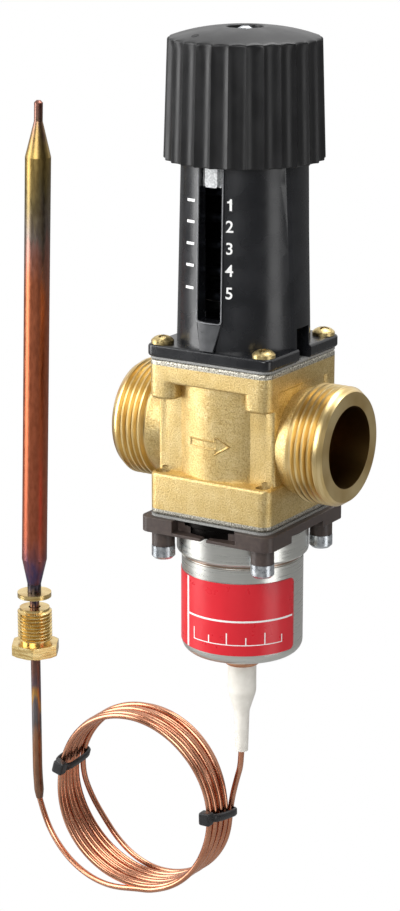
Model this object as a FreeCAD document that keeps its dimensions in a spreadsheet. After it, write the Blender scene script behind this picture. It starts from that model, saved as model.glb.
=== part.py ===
"""Self-acting temperature control valve with a remote copper sensor, built as a parametric document.

Lengths are in millimetres. The origin is the centre of the inlet port's end face, +X runs along the flow
to the outlet and +Z runs up the stem to the setting knob. Levels are measured from the port axis, and
radii from the stem axis, unless a size's note says otherwise.
"""
import FreeCAD, Part
import math
import os

import Sketcher

# Driving sizes: name, value, what it measures
SIZES = [
    ("port_thread_radius", 20.955, "crest of the male pipe thread on both ports"),
    ("port_thread_pitch", 2.309, "crest to crest"),
    ("port_thread_depth", 1.48, "crest to root"),
    ("port_thread_crest", 0.7, "flat land on each crest"),
    ("port_thread_count", 5, "full crests on a port"),
    ("port_half_length", 42.9, "stem axis to a port's end face"),
    ("port_bore_radius", 14.45, "flow bore"),
    ("port_face_radius", 19.35, "sealing face, inside the chamfer"),
    ("port_relief_radius", 19.4, "groove behind the thread"),
    ("port_neck_radius", 17.6, "neck where it leaves the waist"),
    ("port_wall_end", 19.0, "stem axis to the blind end of a port's bore"),
    ("body_half_height", 28.1, "port axis to a machined joint face"),
    ("flange_half_width", 24.5, "square flanges of the forging"),
    ("flange_corner", 4.0, "upright corner rounding of the flanges"),
    ("flange_edge", 1.2, "soft edge rounding of the forging"),
    ("top_flange_thickness", 8.2, "between the corner bosses"),
    ("corner_boss_height", 6.0, "below the top flange"),
    ("corner_boss_width", 10.6, "along each side"),
    ("bottom_flange_thickness", 15.2, "lower block of the forging"),
    ("waist_half_depth", 18.5, "flat panels beside the barrel"),
    ("waist_half_length", 23.7, "along the flow"),
    ("barrel_radius", 23.2, "upright round bulge of the waist"),
    ("guide_radius", 16.0, "bores that take the stem guides"),
    ("guide_height", 6.0, "solid disc of a stem guide"),
    ("guide_rim_radius", 13.5, "inside of a guide's rim"),
    ("chamber_radius", 15.0, "flow chambers above and below the seat"),
    ("chamber_height", 14.5, "port axis to the far end of a chamber"),
    ("passage_half_width", 9.0, "slot from a port's bore to its chamber"),
    ("passage_height", 12.5, "port axis to the far side of the slot"),
    ("partition_half", 2.5, "half of the wall that holds the seat"),
    ("seat_radius", 10.5, "hole in the partition"),
    ("seat_bore_radius", 9.0, "flow hole of the seat ring"),
    ("seat_flange_radius", 12.4, "seat ring flange under the partition"),
    ("seat_flange_height", 2.0, "seat ring flange"),
    ("stem_radius", 3.0, "valve stem"),
    ("stem_shoulder_radius", 4.2, "collar above the cone"),
    ("stem_stroke", 5.0, "open to closed"),
    ("cone_radius", 11.6, "valve cone"),
    ("cone_hub_radius", 8.1, "hub inside the soft seal"),
    ("cone_seal_height", 1.5, "soft seal ring"),
    ("cone_plate", 2.1, "cone below the seal"),
    ("clip_thickness", 0.75, "retaining clip under the cone"),
    ("clip_radius", 5.0, "retaining clip"),
    ("ring_section", 0.95, "section radius of the stem seals"),
    ("gasket_thickness", 0.8, "joint sheets above and below the forging"),
    ("housing_half_width", 24.9, "square foot of the spring housing"),
    ("housing_foot", 4.3, "thickness of the foot"),
    ("foot_corner", 3.0, "upright corner rounding of the foot"),
    ("foot_edge", 1.0, "edge rounding of the foot"),
    ("column_foot_radius", 23.33, "column where it leaves the foot"),
    ("column_top_radius", 21.25, "column under the knob"),
    ("column_top", 124.0, "level of the housing's top face"),
    ("column_bore_radius", 18.5, "inside of the column"),
    ("column_lid", 4.0, "top wall of the housing"),
    ("slot_half_width", 4.5, "pointer slot"),
    ("slot_rim", 0.8, "raised frame beside the slot"),
    ("rib_rise", 0.45, "how far the slot's frame stands proud"),
    ("slot_low", 43.4, "level of the slot's lower end"),
    ("slot_high", 112.0, "level of the slot's upper end"),
    ("pilaster_half_width", 7.5, "side strips, at the column"),
    ("pilaster_flat", 4.4, "half of a side strip's outer flat"),
    ("pilaster_rise", 0.9, "side strip above the column"),
    ("vent_half_width", 4.0, "vents at the foot"),
    ("vent_height", 7.0, "vent above the foot"),
    ("ramp_half_width", 4.9, "sloped facet under the slot, at its top"),
    ("ramp_foot_half_width", 2.7, "sloped facet at the foot"),
    ("ramp_reach", 24.4, "how far forward the facet comes at the foot"),
    ("screw_pitch_half", 20.45, "stem axis to a flange screw along X and Y"),
    ("housing_screw_radius", 2.0, "upper screws"),
    ("housing_screw_head", 4.0, "upper screw heads"),
    ("housing_screw_head_height", 2.6, "upper screw heads"),
    ("housing_screw_length", 16.0, "under the head"),
    ("housing_hole_end", 9.6, "level of the upper tapped holes' drill points"),
    ("clamp_screw_radius", 2.5, "lower screws"),
    ("clamp_screw_head", 4.2, "lower screw heads"),
    ("clamp_screw_head_height", 4.8, "lower screw heads"),
    ("clamp_screw_length", 25.0, "under the head"),
    ("clamp_hole_end", 9.4, "depth below the port axis of the lower drill points"),
    ("screw_hole_slack", 0.25, "screw in a clearance hole"),
    ("thread_slack", 0.05, "screw in its tapped hole, all round"),
    ("knob_low", 96.7, "level of the knob's lower rim"),
    ("knob_rim", 137.4, "level of the knob's upper edge"),
    ("knob_crown", 141.6, "level of the dome at the middle hole"),
    ("knob_low_radius", 27.85, "knob at its lower rim"),
    ("knob_top_radius", 26.45, "knob at its upper edge"),
    ("knob_dome_radius", 75.0, "curve of the knob's top"),
    ("knob_wall", 3.4, "skirt of the knob"),
    ("knob_roof", 3.6, "top wall of the knob"),
    ("knob_hub_radius", 8.5, "hub inside the knob"),
    ("drive_flat_set_back", 1.5, "drive flat short of the hub's wall"),
    ("knob_hole_radius", 6.3, "hole in the knob's top"),
    ("knob_shelf", 9.7, "hub's lower end up to the shelf that the knob screw clamps"),
    ("flute_count", 28, "flutes round the knob"),
    ("flute_radius", 4.4, "hollow of one flute"),
    ("flute_depth", 0.95, "depth of one flute"),
    ("knob_dot_radius", 0.9, "index dimple in the knob's top"),
    ("knob_dot_place", 20.8, "index dimple from the stem axis"),
    ("knob_screw_head", 5.5, "screw in the knob's top"),
    ("knob_screw_head_height", 5.2, "screw in the knob's top"),
    ("knob_screw_radius", 2.45, "screw in the knob's top"),
    ("knob_screw_length", 12.0, "under the head"),
    ("spindle_radius", 5.0, "setting spindle's thread"),
    ("spindle_journal_radius", 5.5, "setting spindle in the housing's top wall"),
    ("spindle_flange_radius", 8.0, "thrust flange of the spindle"),
    ("spindle_flange_height", 3.0, "thrust flange of the spindle"),
    ("spindle_low", 52.0, "level of the spindle's lower end"),
    ("spindle_flat", 4.2, "stem axis to the flat that drives the knob"),
    ("spindle_bore", 2.5, "tapped hole for the knob screw"),
    ("washer_thickness", 1.0, "thrust washer"),
    ("washer_radius", 9.5, "thrust washer"),
    ("running_gap", 0.05, "shafts in their holes and thrust faces"),
    ("nut_low", 89.4, "level of the setting nut's lower rim and pointer tip"),
    ("nut_height", 12.0, "setting nut"),
    ("nut_web", 6.0, "threaded web of the setting nut"),
    ("nut_radius", 17.9, "setting nut"),
    ("nut_skirt", 2.4, "wall round the spring's upper end"),
    ("lug_half_width", 4.2, "guide lug in the slot"),
    ("lug_reach", 20.0, "stem axis to the lug's face"),
    ("pointer_half_width", 2.45, "pointer"),
    ("pointer_reach", 21.6, "stem axis to the pointer's face"),
    ("pointer_corner", 0.9, "rounding of the pointer's tip"),
    ("spring_radius", 12.5, "main spring, middle of the wire"),
    ("spring_wire", 1.5, "main spring wire radius"),
    ("spring_turns", 6.5, "main spring"),
    ("plate_low", 1.1, "upper joint sheet up to the spring plate, valve open"),
    ("plate_thickness", 2.5, "spring plate"),
    ("plate_radius", 15.5, "spring plate"),
    ("pilot_radius", 10.5, "boss inside the spring"),
    ("pilot_height", 2.0, "boss inside the spring"),
    ("clamp_half_width", 26.7, "lower clamp, square"),
    ("clamp_thickness", 5.5, "lower clamp"),
    ("clamp_corner", 3.6, "upright corner rounding of the clamp"),
    ("clamp_split", 1.2, "half of the gap between the clamp's halves"),
    ("clamp_window_half", 13.0, "recess in the clamp's front and back"),
    ("clamp_lip", 1.1, "lip left below the recess"),
    ("clamp_side_half", 11.0, "recess in the clamp's ends"),
    ("clamp_side_height", 2.4, "recess in the clamp's ends"),
    ("clamp_leg_radius", 4.1, "corner legs"),
    ("clamp_leg_length", 5.7, "corner legs"),
    ("collar_radius", 23.6, "element collar"),
    ("collar_flange_radius", 24.5, "element collar under the clamp"),
    ("collar_flange_height", 2.0, "element collar under the clamp"),
    ("collar_low", 43.4, "depth of the collar's lower edge"),
    ("collar_chamfer", 0.8, "height of the collar's lower cone"),
    ("collar_low_radius", 22.9, "collar's lower edge"),
    ("collar_bore_radius", 20.4, "inside of the collar"),
    ("clamp_slack", 0.15, "clamp round the collar"),
    ("can_radius", 21.8, "element can"),
    ("can_low", 81.0, "depth of the can's bottom"),
    ("can_corner", 4.0, "bottom edge rounding"),
    ("can_wall", 1.0, "element can"),
    ("can_rim_height", 6.5, "rim inside the collar"),
    ("can_slack", 0.05, "rim in the collar"),
    ("label_thickness", 0.2, "printed label round the can"),
    ("label_gap", 0.1, "glue between the label and the can"),
    ("label_low", 76.8, "depth of the label's lower edge"),
    ("label_high", 50.2, "depth of the label's upper edge"),
    ("label_start", -120.0, "label's one end, degrees round the stem from the front"),
    ("label_end", 87.0, "label's other end, degrees"),
    ("bellows_radius", 17.0, "outside of the folds"),
    ("bellows_neck", 12.5, "inside of the folds"),
    ("bellows_folds", 8, "folds"),
    ("bellows_wall", 0.6, "bellows, measured along the radius"),
    ("bellows_end", 1.5, "bellows end plate"),
    ("bellows_low", 72.0, "depth of the bellows' lower end"),
    ("pin_radius", 4.0, "thrust pin inside the bellows"),
    ("pin_top", 40.0, "depth of the thrust pin's top"),
    ("ferrule_radius", 6.45, "copper ferrule under the can"),
    ("ferrule_low", 87.0, "depth of the ferrule's lower face"),
    ("boot_radius", 5.2, "upper end of the sleeve"),
    ("boot_shoulder", 97.8, "depth where the sleeve starts to taper"),
    ("boot_neck", 105.5, "depth where the taper ends"),
    ("boot_neck_radius", 2.7, "sleeve below the taper"),
    ("boot_end_radius", 2.15, "sleeve's lower end"),
    ("boot_low", 121.2, "depth of the sleeve's lower end"),
    ("boot_socket", 9.0, "length of capillary held in the sleeve"),
    ("capillary_radius", 1.1, "copper capillary"),
    ("coil_x", -43.4, "middle of the coil from the stem axis"),
    ("coil_z", -149.1, "level of the coil's middle"),
    ("coil_radius", 34.2, "middle of the bundle"),
    ("coil_half_width", 2.7, "half of the bundle in the coil's plane"),
    ("coil_half_depth", 9.2, "half of the bundle across the coil's plane"),
    ("tie_slack", 0.15, "tie round the bundle"),
    ("tie_thickness", 1.1, "tie band"),
    ("tie_width", 3.4, "tie band along the bundle"),
    ("tie_head", 5.4, "tie head along the bundle and across it"),
    ("tie_head_rise", 3.6, "tie head out of the band"),
    ("sensor_x", -92.5, "gland and stem tube from the stem axis"),
    ("tube_radius", 1.85, "stem tube"),
    ("tube_bend_z", -150.0, "level of the stem tube's bend"),
    ("tube_end_x", -92.0, "crimped end of the stem tube"),
    ("tube_end_z", -157.8, "crimped end of the stem tube"),
    ("crimp_length", 3.2, "drawn-in end of the stem tube"),
    ("crimp_radius", 1.35, "drawn-in end of the stem tube"),
    ("neck_radius", 2.6, "steel sleeve under the sensor"),
    ("neck_low", 79.5, "depth of the sleeve's lower end"),
    ("neck_top", 73.6, "depth of the sleeve's upper end"),
    ("sensor_radius", 4.75, "copper sensor"),
    ("sensor_taper", 10.0, "lower cone"),
    ("sensor_body", 153.3, "straight length"),
    ("sensor_shoulder", 13.0, "upper cone"),
    ("nipple_radius", 1.6, "sealed filling tip"),
    ("nipple_length", 7.5, "sealed filling tip"),
    ("sensor_lean", 1.84, "lean of the sensor towards the valve, degrees"),
    ("gland_top", 82.8, "depth of the gland's upper face"),
    ("gland_thread_radius", 6.58, "crest of the gland's thread"),
    ("gland_thread_pitch", 1.337, "crest to crest"),
    ("gland_thread_depth", 0.85, "crest to root"),
    ("gland_thread_crest", 0.35, "flat land on each crest"),
    ("gland_thread_count", 9, "full crests on the gland"),
    ("gland_lead", 1.0, "plain end above the gland's thread"),
    ("gland_hex_half", 8.5, "half of the hexagon across its flats"),
    ("gland_hex_height", 4.6, "hexagon"),
    ("gland_hole_radius", 2.3, "hole through the gland"),
    ("packing_height", 4.0, "packing ring inside the gland"),
    ("packing_radius", 3.6, "packing ring"),
    ("packing_depth", 3.0, "from the hexagon's lower face to the packing"),
    ("gland_washer_radius", 6.45, "washer above the gland"),
    ("gland_washer_thickness", 1.8, "washer above the gland"),
    ("gland_washer_top", 76.8, "depth of the washer's upper face"),
]

# Route of the capillary from the sleeve to the coil, (x, y, z) from the stem axis and the port axis
LEAD_ROUTE = [
    (0.0, 0.0, -112.2), (0.0, 0.0, -126.0), (-3.4, 2.5, -133.6), (-7.0, 5.4, -142.0), (-8.8, 6.8, -148.2),
]
# Route of the capillary from the coil to the crimped end of the stem tube
TAIL_ROUTE = [
    (-42.0, -6.9, -184.4), (-52.2, -6.9, -186.3), (-60.8, -6.3, -186.0), (-69.0, -5.0, -184.2),
    (-77.2, -3.3, -180.6), (-84.6, -1.6, -174.6), (-89.4, -0.4, -167.6), (-91.78, 0.0, -161.1),
]
# Angle of each tie round the coil, degrees from +X towards +Z
TIES = [("cable_tie_upper", 165.0), ("cable_tie_lower", 1.0)]
FULL_TURN = 360.0
ABOUT_Y = FreeCAD.Vector(0, 1, 0)
ABOUT_Z = FreeCAD.Vector(0, 0, 1)


class Size:
    """A number together with the sheet expression that gives it."""

    def __init__(self, value, text):
        self.value = float(value)
        self.text = text

    def __add__(self, other):
        return joined(self, "+", other)

    def __radd__(self, other):
        return joined(other, "+", self)

    def __sub__(self, other):
        return joined(self, "-", other)

    def __rsub__(self, other):
        return joined(other, "-", self)

    def __mul__(self, other):
        return joined(self, "*", other)

    def __rmul__(self, other):
        return joined(other, "*", self)

    def __truediv__(self, other):
        return joined(self, "/", other)

    def __neg__(self):
        return joined(0.0, "-", self)


def plain(number):
    """A plain number as a Size."""
    if isinstance(number, Size):
        return number
    return Size(number, f"{float(number):.6f}")


def joined(left, sign, right):
    """Two sizes joined by a sign, in value and in text."""
    a, b = plain(left), plain(right)
    values = {
        "+": a.value + b.value,
        "-": a.value - b.value,
        "*": a.value * b.value,
        "/": a.value / b.value if b.value else 0.0,
    }
    return Size(values[sign], f"({a.text} {sign} {b.text})")


class Sizes:
    """Every size of the sheet as an attribute."""


doc = FreeCAD.newDocument("control_valve")
sheet = doc.addObject("Spreadsheet::Sheet", "sizes")
s = Sizes()
for row, (alias, number, note) in enumerate(SIZES, start=1):
    sheet.set(f"A{row}", note)
    sheet.set(f"B{row}", str(number))
    sheet.setAlias(f"B{row}", alias)
    setattr(s, alias, Size(number, f"sizes.{alias}"))
doc.recompute()

finished = []


def bind(item, name, size):
    """Tie one property of an object to a size."""
    item.setExpression(name, plain(size).text)


def bind_place(item, x=0.0, y=0.0, z=0.0):
    """Tie an object's position to three sizes."""
    bind(item, "Placement.Base.x", x)
    bind(item, "Placement.Base.y", y)
    bind(item, "Placement.Base.z", z)


def finish(item, label, x=0.0, z=0.0):
    """Name a sub-part and stand it on the stem axis, or x from it."""
    item.Label = label
    bind_place(item, s.port_half_length + x, 0.0, z)
    finished.append(item)
    return item


def draw(sketch, points):
    """Closed outline through points of (x, y) or (x, y, radius), where the line to that point is an arc.

    A positive radius bulges to the left of the way the outline runs, a negative one to the right.
    """
    count = len(points)
    places = [(plain(p[0]), plain(p[1])) for p in points]
    for i, (x, y) in enumerate(places):
        x0, y0 = places[i - 1]
        start = FreeCAD.Vector(x0.value, y0.value, 0)
        end = FreeCAD.Vector(x.value, y.value, 0)
        if len(points[i]) == 2:
            sketch.addGeometry(Part.LineSegment(start, end), False)
            continue
        bend = plain(points[i][2]).value
        half = (end - start) * 0.5
        across = FreeCAD.Vector(-half.y, half.x, 0).normalize()
        rise = abs(bend) - math.sqrt(bend * bend - half.Length * half.Length)
        middle = start + half + across * math.copysign(rise, bend)
        sketch.addGeometry(Part.Arc(start, middle, end), False)
    ends = [end_points(sketch, i, places[i]) for i in range(count)]
    for i in range(count):
        after = (i + 1) % count
        sketch.addConstraint(Sketcher.Constraint("Coincident", i, ends[i][1], after, ends[after][0]))
    for i, (x, y) in enumerate(places):
        tie_point(sketch, i, ends[i][1], x, y)
        if len(points[i]) == 3:
            rule = sketch.addConstraint(Sketcher.Constraint("Radius", i, abs(plain(points[i][2]).value)))
            bend = plain(points[i][2])
            bind(sketch, f"Constraints[{rule}]", bend if bend.value > 0 else -bend)


def end_points(sketch, index, place):
    """Numbers of an edge's first and last point, in the order in which the outline runs."""
    edge = sketch.Geometry[index]
    last = FreeCAD.Vector(place[0].value, place[1].value, 0)
    forward = (edge.EndPoint - last).Length < (edge.StartPoint - last).Length
    return (1, 2) if forward else (2, 1)


def tie_point(sketch, index, point, x, y):
    """Tie one point of a sketch to its two sizes."""
    for kind, size in (("DistanceX", x), ("DistanceY", y)):
        rule = sketch.addConstraint(Sketcher.Constraint(kind, -1, 1, index, point, size.value))
        bind(sketch, f"Constraints[{rule}]", size)


def plane_of(body, role):
    """One of a body's own origin planes."""
    return next(f for f in body.Origin.OriginFeatures if f.Role == role)


def new_sketch(body, role, points):
    """Sketch of one outline on one of a body's origin planes."""
    sketch = body.newObject("Sketcher::SketchObject", f"{body.Name}_outline")
    sketch.AttachmentSupport = [(plane_of(body, role), "")]
    sketch.MapMode = "FlatFace"
    draw(sketch, points)
    return sketch


def turned_body(name, points):
    """Body turned about its own Z axis from an outline of (radius, level)."""
    body = doc.addObject("PartDesign::Body", name)
    sketch = new_sketch(body, "XZ_Plane", points)
    turn = body.newObject("PartDesign::Revolution", f"{name}_turn")
    turn.Profile = sketch
    turn.ReferenceAxis = (sketch, ["V_Axis"])
    turn.Angle = FULL_TURN
    doc.recompute()
    return body


def turned_part(name, label, points, x=0.0):
    """Sub-part that is one turned body."""
    return finish(turned_body(name, points), label, x)


def ring(name, label, inner, outer, low, high, x=0.0):
    """Plain turned ring as a sub-part."""
    return turned_part(name, label, [(inner, low), (outer, low), (outer, high), (inner, high)], x)


def cylinder(radius, low, high, x=0.0, y=0.0):
    """Upright cylinder between two levels."""
    item = doc.addObject("Part::Cylinder", "cylinder")
    bind(item, "Radius", radius)
    bind(item, "Height", high - plain(low))
    bind_place(item, x, y, low)
    return item


def flow_cylinder(radius, low, high):
    """Cylinder about the port axis between two places along the flow."""
    item = doc.addObject("Part::Cylinder", "flow_cylinder")
    item.Placement.Rotation = FreeCAD.Rotation(ABOUT_Y, 90)
    bind(item, "Radius", radius)
    bind(item, "Height", high - plain(low))
    bind_place(item, low)
    return item


def cone(low_radius, high_radius, low, high, x=0.0, y=0.0):
    """Upright cone between two levels."""
    item = doc.addObject("Part::Cone", "cone")
    bind(item, "Radius1", low_radius)
    bind(item, "Radius2", high_radius)
    bind(item, "Height", high - plain(low))
    bind_place(item, x, y, low)
    return item


def box(x, y, z):
    """Box between the pairs of places x, y and z."""
    item = doc.addObject("Part::Box", "box")
    for side, pair in (("Length", x), ("Width", y), ("Height", z)):
        bind(item, side, pair[1] - plain(pair[0]))
    bind_place(item, x[0], y[0], z[0])
    return item


def rounded(item, picks):
    """Round the edges of an item: picks gives a radius for an edge, or None to leave it sharp."""
    doc.recompute()
    edges = []
    for number, edge in enumerate(item.Shape.Edges, start=1):
        size = picks(edge)
        if size is not None:
            edges.append((number, size.value, size.value))
    soft = doc.addObject("Part::Fillet", "rounded")
    soft.Base = item
    soft.Edges = edges
    return soft


def is_upright(edge):
    """True for an edge that runs along Z."""
    first, last = edge.Vertexes[0].Point, edge.Vertexes[-1].Point
    return abs(first.x - last.x) + abs(first.y - last.y) < 1e-6


def slab(half_x, half_y, low, high, corner, edge_radius):
    """Flat block about the stem axis with round upright corners and soft edges."""
    block = box((-half_x, half_x), (-half_y, half_y), (low, high))
    return rounded(block, lambda edge: corner if is_upright(edge) else edge_radius)


def fuse(items):
    """Solid that is all the items together."""
    item = doc.addObject("Part::MultiFuse", "fused")
    item.Shapes = items
    item.Refine = True
    return item


def cut(base, tools):
    """Base with all the tools taken away."""
    item = doc.addObject("Part::Cut", "trimmed")
    item.Base = base
    item.Tool = tools[0] if len(tools) == 1 else fuse(tools)
    return item


def common(first, second):
    """What two items share."""
    item = doc.addObject("Part::Common", "shared")
    item.Base = first
    item.Tool = second
    return item


def together(items):
    """Separate like solids in one sub-part."""
    item = doc.addObject("Part::Compound", "together")
    item.Links = items
    return item


def corners():
    """The four flange screws' places from the stem axis."""
    pitch = s.screw_pitch_half
    return [(pitch * i, pitch * j) for i in (-1, 1) for j in (-1, 1)]


def thread_points(start, step, count, crest, depth, land):
    """Outline of count thread ridges that run on from start by step: (radius, place) pairs."""
    points = []
    for i in range(int(count.value)):
        here = start + step * i
        points.append((crest - depth, here))
        points.append((crest, here + step / 2 - land / 2))
        points.append((crest, here + step / 2 + land / 2))
    points.append((crest - depth, start + step * count.value))
    return points


# Levels that several pieces share
gasket_top = s.body_half_height + s.gasket_thickness
foot_top = gasket_top + s.housing_foot
clamp_low = -gasket_top - s.clamp_thickness
leg_low = clamp_low - s.clamp_leg_length
seal_top = -s.partition_half - s.seat_flange_height - s.stem_stroke - s.running_gap
cone_low = seal_top - s.cone_seal_height - s.cone_plate
stem_low = -s.pin_top
bellows_top = -gasket_top - s.collar_flange_height
shelf_level = s.column_top + 6 * s.running_gap + s.knob_shelf
plate_level = gasket_top + s.plate_low


def port(sign):
    """One threaded port, turned about the flow axis: sign is 1 on the outlet side."""
    end = s.port_half_length
    thread_end = end - s.port_thread_pitch * s.port_thread_count.value - (s.port_thread_radius - s.port_face_radius)
    crest = s.port_thread_radius
    ridges = thread_points(
        thread_end, s.port_thread_pitch, s.port_thread_count, crest, s.port_thread_depth, s.port_thread_crest
    )
    points = [(0.0, s.port_wall_end - s.flange_edge)]
    points.append((s.port_neck_radius, s.port_wall_end - s.flange_edge))
    points.append((s.port_neck_radius, s.waist_half_length - s.flange_edge))
    points.append((s.port_relief_radius, thread_end - s.port_thread_pitch))
    points.append((s.port_relief_radius, thread_end))
    points += ridges[1:-1]
    points.append((s.port_face_radius, end))
    points.append((0.0, end))
    sketch = doc.addObject("Sketcher::SketchObject", "port_outline")
    draw(sketch, [(place * sign, radius) for radius, place in points])
    turn = doc.addObject("Part::Revolution", "port")
    turn.Source = sketch
    turn.Axis = FreeCAD.Vector(1, 0, 0)
    turn.Angle = FULL_TURN
    turn.Solid = True
    return turn


def tapped_holes(radius, low, high, point, flip):
    """Four blind screw holes in the forging with drill points: flip is 1 where they are open at the top."""
    tools = []
    for x, y in corners():
        tools.append(cylinder(radius, low, high, x, y))
        if flip > 0:
            tools.append(cone(0.0, radius, point, low, x, y))
        else:
            tools.append(cone(radius, 0.0, high, point, x, y))
    return tools


def make_valve_body():
    """Forged brass body: square flanges, waist with an upright barrel, two threaded ports and a seat wall."""
    top, wide = s.body_half_height, s.flange_half_width
    flange_low = top - s.top_flange_thickness
    boss_low = flange_low - s.corner_boss_height
    block_top = -top + s.bottom_flange_thickness
    edge = s.flange_edge
    solids = [slab(wide, wide, flange_low, top, s.flange_corner, edge)]
    solids.append(slab(wide, wide, -top, block_top, s.flange_corner, edge))
    for i in (-1, 1):
        for j in (-1, 1):
            x = sorted(((wide - s.corner_boss_width) * i, wide * i), key=lambda size: size.value)
            y = sorted(((wide - s.corner_boss_width) * j, wide * j), key=lambda size: size.value)
            boss = box(x, y, (boss_low, flange_low + s.flange_corner))
            solids.append(rounded(boss, lambda line: s.flange_corner if is_upright(line) else edge))
    inside = block_top - s.flange_corner
    solids.append(slab(s.waist_half_length, s.waist_half_depth, inside, flange_low + s.flange_corner, edge, edge))
    solids.append(cylinder(s.barrel_radius, inside, flange_low + s.flange_corner))
    solids += [port(1), port(-1)]
    holes = [flow_cylinder(s.port_bore_radius, -s.port_half_length, -s.port_wall_end)]
    holes.append(flow_cylinder(s.port_bore_radius, s.port_wall_end, s.port_half_length))
    wide_way = (-s.passage_half_width, s.passage_half_width)
    reach = s.port_wall_end + s.port_bore_radius / 2
    holes.append(box((-reach, 0.0), wide_way, (-s.passage_height, -s.partition_half)))
    holes.append(box((0.0, reach), wide_way, (s.partition_half, s.passage_height)))
    holes.append(cylinder(s.chamber_radius, s.partition_half, s.chamber_height))
    holes.append(cylinder(s.chamber_radius, -s.chamber_height, -s.partition_half))
    holes.append(cylinder(s.guide_radius, s.chamber_height, top))
    holes.append(cylinder(s.guide_radius, -top, -s.chamber_height))
    holes.append(cylinder(s.seat_radius, -s.partition_half, s.partition_half))
    upper = s.housing_screw_radius + s.thread_slack
    holes += tapped_holes(upper, s.housing_hole_end + upper, top, s.housing_hole_end, 1)
    lower = s.clamp_screw_radius + s.thread_slack
    holes += tapped_holes(lower, -top, -s.clamp_hole_end - lower, -s.clamp_hole_end, -1)
    return finish(cut(fuse(solids), holes), "valve_body")


def make_seat():
    """Seat ring with a flange under the partition."""
    low = -s.partition_half - s.seat_flange_height
    outer = s.seat_radius - s.running_gap
    points = [(s.seat_bore_radius, low), (s.seat_flange_radius, low), (s.seat_flange_radius, -s.partition_half)]
    points += [(outer, -s.partition_half), (outer, s.partition_half), (s.seat_bore_radius, s.partition_half)]
    turned_part("SeatRing", "seat_ring", points)


def make_stem_group():
    """Stem, cone with its soft seal and clip, spring plate and thrust pin: all move together."""
    radius, gap = s.stem_radius, s.running_gap
    groove = radius - 0.5 * s.clip_thickness
    clip_low = cone_low - s.clip_thickness - gap
    shoulder = seal_top - gap
    pilot_end = radius - s.clip_thickness
    top = plate_level + s.plate_thickness
    points = [(0.0, stem_low), (radius, stem_low), (radius, clip_low - gap), (groove, clip_low - gap)]
    points += [(groove, cone_low), (radius, cone_low), (radius, shoulder), (s.stem_shoulder_radius, shoulder)]
    points += [(s.stem_shoulder_radius, shoulder + s.plate_thickness), (radius, shoulder + s.plate_thickness)]
    points += [(radius, plate_level), (pilot_end, plate_level), (pilot_end, top), (0.0, top)]
    turned_part("ValveStem", "valve_stem", points)
    plate_top = seal_top - s.cone_seal_height
    hub = s.cone_hub_radius
    cone_points = [(radius + gap, cone_low), (s.cone_radius, cone_low), (s.cone_radius, plate_top)]
    cone_points += [(hub, plate_top), (hub, shoulder - gap), (radius + gap, shoulder - gap)]
    turned_part("ValveCone", "valve_cone", cone_points)
    ring("ConeSeal", "cone_seal", hub + gap, s.cone_radius - gap, plate_top, seal_top)
    ring("ConeClip", "cone_clip", groove + gap, s.clip_radius, clip_low, cone_low - gap)
    low, high = plate_level, plate_level + s.plate_thickness
    plate = [(pilot_end + gap, low), (s.plate_radius, low), (s.plate_radius, high), (s.pilot_radius, high)]
    plate += [(s.pilot_radius, high + s.pilot_height), (pilot_end + gap, high + s.pilot_height)]
    turned_part("SpringPlate", "spring_plate", plate)
    pin_low = -s.bellows_low + s.bellows_end + gap
    ring_points = [(0.0, pin_low), (s.pin_radius, pin_low), (s.pin_radius, stem_low), (0.0, stem_low)]
    turned_part("ThrustPin", "thrust_pin", ring_points)


def make_guide(name, label, ring_label, side):
    """Stem guide with an inner groove for its seal: side is 1 above the seat and -1 below it."""
    near = s.chamber_height
    far = s.chamber_height + s.guide_height
    hole = s.stem_radius + s.running_gap
    groove = hole + s.ring_section * 2 + s.running_gap
    middle = near + s.guide_height / 2
    half = s.ring_section + s.running_gap
    outer = s.guide_radius - s.running_gap
    points = [(hole, near), (outer, near), (outer, s.body_half_height), (s.guide_rim_radius, s.body_half_height)]
    points += [(s.guide_rim_radius, far), (hole, far), (hole, middle + half), (groove, middle + half)]
    points += [(groove, middle - half), (hole, middle - half)]
    turned_part(name, label, [(radius, level * side) for radius, level in points])
    seal = doc.addObject("Part::Torus", f"{name}Seal")
    bind(seal, "Radius1", hole + s.ring_section)
    bind(seal, "Radius2", s.ring_section)
    finish(seal, ring_label, 0.0, middle * side)


def make_gasket(label, low):
    """Square joint sheet with a middle hole and four screw holes."""
    high = low + s.gasket_thickness
    wide = s.flange_half_width
    block = box((-wide, wide), (-wide, wide), (low, high))
    sheet_block = rounded(block, lambda edge: s.flange_corner if is_upright(edge) else None)
    tools = [cylinder(s.guide_rim_radius, low, high)]
    for x, y in corners():
        tools.append(cylinder(s.clamp_screw_radius + s.screw_hole_slack, low, high, x, y))
    finish(cut(sheet_block, tools), label)


def column_cone(rise, low, high):
    """Part of the column's taper between two levels, with its surface raised by rise."""
    slope = (s.column_foot_radius - s.column_top_radius) / (s.column_top - foot_top)
    low_radius = s.column_foot_radius - slope * (low - foot_top) + rise
    high_radius = s.column_foot_radius - slope * (high - foot_top) + rise
    return cone(low_radius, high_radius, low, high)


def pilaster(sign, low, high):
    """Raised strip down one end of the column, with sloped sides."""
    outline = doc.addObject("Sketcher::SketchObject", "pilaster_outline")
    reach = s.column_foot_radius + s.pilaster_rise
    wide, flat = s.pilaster_half_width, s.pilaster_flat
    inner = s.column_bore_radius
    side = s.column_top_radius - s.pilaster_rise
    points = [(inner * sign, -wide), (side * sign, -wide), (reach * sign, -flat), (reach * sign, flat)]
    points += [(side * sign, wide), (inner * sign, wide)]
    draw(outline, points)
    bind_place(outline, 0.0, 0.0, low)
    strip = doc.addObject("Part::Extrusion", "pilaster_strip")
    strip.Base = outline
    strip.DirMode = "Custom"
    strip.Dir = ABOUT_Z
    bind(strip, "LengthFwd", high - low)
    strip.Solid = True
    return common(strip, column_cone(s.pilaster_rise, low, high))


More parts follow.
